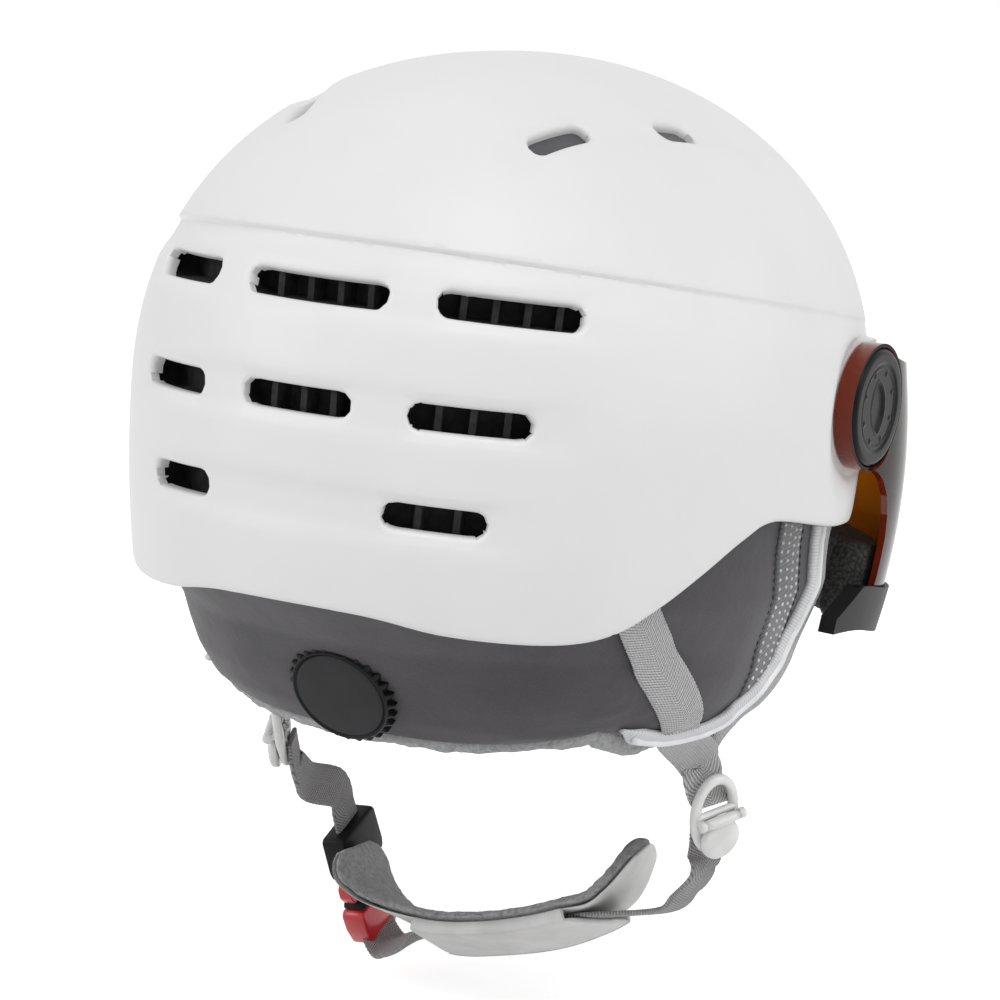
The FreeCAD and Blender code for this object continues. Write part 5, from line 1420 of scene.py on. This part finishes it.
# ---------------------------------------------------------------- chin pad and buckle

CHIN_LINE = (((63, -46, -131), 19, (0, 0.97, 0.2)), ((57, -46, -141), 20, (0, 0.96, 0.25)),
             ((45, -46, -148), 17, (0, 0.93, 0.36)), ((28, -44, -149.5), 13.5, (0, 0.88, 0.48)),
             ((10, -42.5, -146), 12.5, (0, 0.88, 0.48)), ((-7.5, -41, -140.5), 12.5, (0, 0.88, 0.48)),
             ((-22, -38, -133.5), 13.0, (0, 0.9, 0.43)), ((-33.5, -34.5, -125.5), 15.5, (0, 0.95, 0.3)),
             ((-40, -32, -116), 17.5, (-0.05, 0.98, 0.1)), ((-43.5, -30.5, -107.5), 15.5, (-0.1, 0.99, 0.0)))


CHIN_COUNT = 150
SLEEVE_FROM, SLEEVE_TO = 0.305, 0.80


def chin_frame(count):
    """Dense middle line, across vectors, outward normals and half widths of the chin pad."""
    line = catmull([p for p, _, _ in CHIN_LINE], 20)
    wide = catmull([w for _, _, w in CHIN_LINE], 20)
    half = catmull([(h, 0) for _, h, _ in CHIN_LINE], 20)[:, 0]
    run = lengths(line)
    at = np.linspace(0, run[-1], count)
    line, wide = [np.stack([np.interp(at, run, v[:, k]) for k in range(3)], 1) for v in (line, wide)]
    half = np.interp(at, run, half)
    tangent = unit(np.gradient(line, axis=0))
    wide = unit(wide - tangent * np.sum(wide * tangent, 1, keepdims=True))
    return line, wide, np.cross(tangent, wide), half, at


def chin_piece(name, mat, near, far, trim, start=0.0, end=1.0, round_ends=True, crown=0.0):
    line, wide, out, half, at = chin_frame(CHIN_COUNT)
    low, high = at[-1] * start, at[-1] * end
    rings = []
    for i in range(CHIN_COUNT):
        if at[i] < low - 1e-6 or at[i] > high + 1e-6:
            continue
        reach = half[i] - trim
        if round_ends:
            corner = 11.0
            for gap in (at[i] - low, high - at[i]):
                if gap < corner:
                    g = max(gap, 0.25)
                    reach = reach - corner + math.sqrt(max(corner ** 2 - (corner - g) ** 2, 0))
        ring = []
        us = [-1, -0.985, -0.94, -0.8, -0.55, -0.25, 0.0, 0.25, 0.55, 0.8, 0.94, 0.985, 1]
        middle = (near + far) / 2
        thick = (far - near) / 2
        for u in us:
            e = (1 - abs(u) ** 8) ** 0.5
            ring.append(line[i] + wide[i] * reach * u + out[i] * (middle - (thick * e + crown * (1 - u * u))))
        for u in us[::-1]:
            e = (1 - abs(u) ** 8) ** 0.5
            ring.append(line[i] + wide[i] * reach * u + out[i] * (middle + thick * e))
        rings.append(ring)
    return closed_strip(name, rings, [mat])


def make_chin():
    obj = chin_piece("chin_pad_fleece", MATS["fleece"], 0.3, 3.8, 0.0, crown=0.6)
    fuzz(obj, 0.3, 0.9)
    finish_piece(obj, "helmet", ["chin_fleece"])
    obj = chin_piece("chin_pad_backing", MATS["coated"], 4.1, 5.0, 0.5)
    finish_piece(obj, "helmet", ["chin_backing"])
    obj = chin_piece("chin_pad_sleeve", MATS["coated"], 7.5, 9.0, 0.2, SLEEVE_FROM, SLEEVE_TO,
                     round_ends=False)
    finish_piece(obj, "helmet", ["chin_sleeve"])
    line, wide, out, half, at = chin_frame(CHIN_COUNT)
    for tag, sign in (("rear", 1), ("front", -1)):
        # the sleeve's long sides, folded up to the backing
        rings = []
        for i in range(CHIN_COUNT):
            share = at[i] / at[-1]
            if SLEEVE_FROM <= share <= SLEEVE_TO:
                base = line[i] + wide[i] * (half[i] - 0.5) * sign
                ring = []
                for begin, bulge, height in ((-math.pi / 2, 1.1, 2.3), (math.pi / 2, 0.2, 1.4)):
                    for a in np.linspace(begin, -begin, 9):
                        ring.append(base + wide[i] * sign * bulge * math.cos(a)
                                    + out[i] * (6.6 + height * math.sin(a)))
                rings.append(ring)
        obj = closed_strip("chin_sleeve_fold_" + tag, rings, [MATS["coated"]])
        finish_piece(obj, "helmet")
    # webbing from the right divider through the sleeve to the buckle's plug
    wide_r = divider_frame(RIGHT)[1]
    start = [at_divider(RIGHT, 0, y, -2.7 - s) for y, s in ((-4, 0), (-10, 0), (-16, 0.6))]
    middle = [(-74.5, -20, -109), (-68, -24, -117.5), (-58.5, -28.5, -126)]
    along = np.linspace(CHIN_COUNT * 0.79, CHIN_COUNT * 0.32, 7).astype(int)
    inside = [line[i] + out[i] * 6.3 for i in along]
    top, plug_wide, _, up = buckle_frame()
    end = [(41, -49, -160), (52, -58, -166.5), (62, -69, -170.5), top - up * 41.0]
    points = [np.array(p, float) for p in start + middle] + inside + [np.array(p, float) for p in end]
    across = [wide_r * -1] * 3 + [np.array([0, 0.95, 0.2])] * 3
    across += [wide[i] for i in along]
    across += [np.array([0.2, 0.9, -0.4])] * 3 + [plug_wide]
    across = [a * (1 if a.dot([0.05, 0.95, 0.2]) > 0 else -1) for a in map(np.array, across)]
    obj = ribbon("chin_strap", points, across, 14.6, 1.3, MATS["webbing_dark"], flip=1)
    finish_piece(obj, "helmet", ["chin_webbing"])
    # loop from the left divider to the buckle, laid double
    wide_l = divider_frame(LEFT)[1]
    top, _, _, up = buckle_frame()
    start = [at_divider(LEFT, 0, y, -2.7 - s) for y, s in ((-4, 0), (-10, 0), (-16, 0.6))]
    run_in = [top + up * z for z in (14, 6, 2, -2)]
    points = [np.array(p, float) for p in start + [np.array([77.5, -34, -110])] + run_in]
    last = -buckle_frame()[1]
    first = wide_l * (1 if wide_l.dot(last) > 0 else -1)
    across = [unit(first * (1 - t) + last * t) for t in (0, 0.05, 0.2, 0.5, 0.8, 0.95, 1, 1)]
    obj = ribbon("buckle_strap", points, across, 14.6, 1.3, MATS["webbing_dark"])
    finish_piece(obj, "helmet", ["buckle_webbing"])


def buckle_frame():
    top, foot = np.array([75.5, -58.0, -128.0]), np.array([71.0, -78.0, -171.0])
    up = unit(top - foot)
    wide = np.array([0, -1.0, 0])
    wide = unit(wide - up * wide.dot(up))
    return top, wide, np.cross(up, wide), up


def block(name, frame_at, profile, depths, mat, bevel):
    """A moulded block: an outline in the local X-Z plane pushed along local Y between two depths."""
    place, ex, ey, ez = frame_at
    count = len(profile)
    points = []
    for d in depths:
        points += [place + ex * x + ey * d + ez * z for x, z in profile]
    faces = [tuple(range(count)), tuple(range(2 * count - 1, count - 1, -1))]
    faces += [(k, (k + 1) % count, count + (k + 1) % count, count + k) for k in range(count)]
    obj = mesh_object(name, points, faces, [mat])
    recalc(obj)
    bevelled(obj, bevel, 3, 25)
    apply_modifiers(obj)
    sharpen(obj, 45)
    return obj


def apply_modifiers(obj):
    graph = bpy.context.evaluated_depsgraph_get()
    mesh = bpy.data.meshes.new_from_object(obj.evaluated_get(graph))
    obj.modifiers.clear()
    obj.data = mesh


def make_buckle():
    here = buckle_frame()
    socket = [(-10.6, 0), (10.6, 0), (11.8, -1.6), (12, -14), (11.2, -17), (7.0, -18.4), (7.0, -27),
              (10.2, -30), (-10.2, -30), (-7.0, -27), (-7.0, -18.4), (-11.2, -17), (-12, -14), (-11.8, -1.6)]
    obj = block("buckle_body", here, socket, (-4.5, 4.5), MATS["black"], 1.1)
    finish_piece(obj, "helmet", ["buckle_socket"])
    plug = [(-10.4, -30.3), (10.4, -30.3), (12, -32), (11.6, -38), (9.4, -44.6), (6.5, -46.3), (-6.5, -46.3),
            (-9.4, -44.6), (-11.6, -38), (-12, -32)]
    obj = block("buckle_plug_body", here, plug, (-4.5, 4.5), MATS["red"], 1.3)
    finish_piece(obj, "helmet", ["buckle_plug"])
    for sign, word in ((-1, "rear"), (1, "front")):
        prong = [(9.2, -19.6), (11.5, -18.6), (12.7, -20.4), (12.8, -23.4), (11.2, -26.3), (9.2, -26.4)]
        prong = [(sign * x, z) for x, z in prong][::sign]
        obj = block("buckle_prong_grip_" + word, here, prong, (-2.5, 2.5), MATS["red"], 0.7)
        finish_piece(obj, "prong_" + word, ["buckle_prong_" + word])


# ---------------------------------------------------------------- comfort pads

def liner_inset(phi, z):
    around = by_direction(phi, 26.0, 20.0, 28.0)
    share = smooth((z - 71.5) / 50.05)
    return 3.3 + around + (25.0 - around) * share


def pad_patch(name, place_at, rows, columns, replaced, seams=(0.33, 0.67)):
    """A pad with a crowned face, pinched edges and sewn channels; place_at(u, v, depth) gives points."""
    n, m = rows + 1, columns + 1
    u, v = [a.ravel() for a in np.meshgrid(np.linspace(0, 1, n), np.linspace(0, 1, m), indexing="ij")]
    rim = np.minimum(np.minimum(u, 1 - u), np.minimum(v, 1 - v) * 0.8)
    puff = smooth(rim / 0.12) ** 0.6
    for seam in seams:
        puff = puff * (1 - 0.35 * np.exp(-((v - seam) / 0.018) ** 2))
    points = np.concatenate([place_at(u, v, 0.5 + 0 * u), place_at(u, v, 0.5 + 6.3 * (0.25 + 0.75 * puff))])
    faces = []
    for layer in (0, 1):
        base = layer * n * m
        for i in range(rows):
            for j in range(columns):
                a = base + i * m + j
                faces.append((a, a + 1, a + m + 1, a + m))
    edge = [i * m for i in range(n)] + [(n - 1) * m + j for j in range(1, m)]
    edge += [i * m + m - 1 for i in range(n - 2, -1, -1)] + [j for j in range(m - 2, 0, -1)]
    for a, b in zip(edge, edge[1:] + edge[:1]):
        faces.append((a, b, b + n * m, a + n * m))
    obj = mesh_object(name, points, faces, [MATS["pad"]])
    recalc(obj)
    fuzz(obj, 0.15, 1.2)
    finish_piece(obj, "helmet", [replaced])


def make_comfort_pads():
    def on_form(phi_range, z_range):
        def place(u, v, depth):
            phi = np.radians(phi_range[0] + (phi_range[1] - phi_range[0]) * v)
            z = z_range[0] + (z_range[1] - z_range[0]) * u
            inset = liner_inset(phi, z) + depth
            return form(phi, z) - form_normal(phi, z) * inset[:, None]
        return place

    pad_patch("brow_cushion", on_form((135.5, 224.5), (54.5, 77.5)), 14, 70, "brow_pad")
    for side, word in SIDES:
        pad_patch("side_cushion_" + word, on_form((-side * 62.5, -side * 111.5), (34.5, 71.5)), 24, 40,
                  "side_pad_" + word)
        pad_patch("rear_cushion_" + word, on_form((-side * 12.5, -side * 44.5), (26.5, 65.5)), 24, 26,
                  "rear_pad_" + word, (0.5,))

    def on_crown(u, v, depth):
        y = 65 - 134 * v
        x = -33 + 66 * u
        length = np.where(y > 0, REAR, FRONT)
        phi = np.arctan2(-x / HALF, y / length)
        reach = np.minimum(np.hypot(x / HALF, y / length), 0.999)
        widest = by_direction(phi, 30.0, 41.0, 43.5)
        roundness = by_direction(phi, 2.43, 1.99, 2.23)
        z = widest + (TOP - widest) * (1 - reach ** roundness) ** (1 / roundness)
        inset = liner_inset(phi, z) + depth + 0.3
        return form(phi, z) - form_normal(phi, z) * inset[:, None]

    pad_patch("crown_cushion", on_crown, 28, 60, "crown_pad", (0.25, 0.5, 0.75))


# ---------------------------------------------------------------- build

scene.view_settings.view_transform = "Standard"
camera()
floor_and_backdrop()
world_light()
area_light("key", (-1.2, 1.3, 2.6), (0, 0, 0.02), 1.6, 37)
area_light("fill_left", (1.8, 1.9, 1.0), (0, 0, 0), 1.4, 19)
area_light("front_strip", (-2.2, -0.6, 0.9), (0, 0, 0.03), 1.0, 10, 1.8)
build_shell()
make_softshell()
make_fleece()
for side, word in SIDES:
    make_ear_band(side, word)
    make_ear_stripe(side, word)
make_straps()
make_dial()
make_face_foam()
make_hub_caps()
make_dividers()
make_chin()
make_buckle()
make_comfort_pads()

# What the CAD nodes that stay visible are made of.
SLOT_OF_NODE = {s["node"]: s["material_slot"] for s in frame["record"]["subparts"]}
LOOK_OF_SLOT = {
    "shell_white": "shell", "foam_black": "eps", "pad_grey": "pad", "softshell": "softshell",
    "fleece_grey": "fleece", "mesh_grey": "mesh", "binding_white": "elastic", "webbing_grey": "webbing",
    "lens_amber": "lens", "trim_black": "black", "divider_white": "white_gloss", "buckle_red": "red",
    "steel": "steel", "brass": "brass", "nylon": "nylon",
}
for name, obj in nodes.items():
    obj.data.materials.clear()
    obj.data.materials.append(MATS[LOOK_OF_SLOT[SLOT_OF_NODE[name]]])

lens = nodes["visor_lens"]
lens.data.materials.clear()
for key in ("lens", "lens_outside", "lens_inside"):
    lens.data.materials.append(MATS[key])
# Outward faces take the dark mirror coat, inward faces the amber with its painted through-light, and the
# edges the dark red.
turn = lens.matrix_world.to_3x3().normalized()
for face in lens.data.polygons:
    spot = lens.matrix_world @ face.center
    outward = Vector((spot.x, spot.y + 0.05, 0)).normalized()
    facing = (turn @ face.normal).dot(outward)
    face.material_index = 1 if facing > 0.5 else 2 if facing < -0.5 else 0
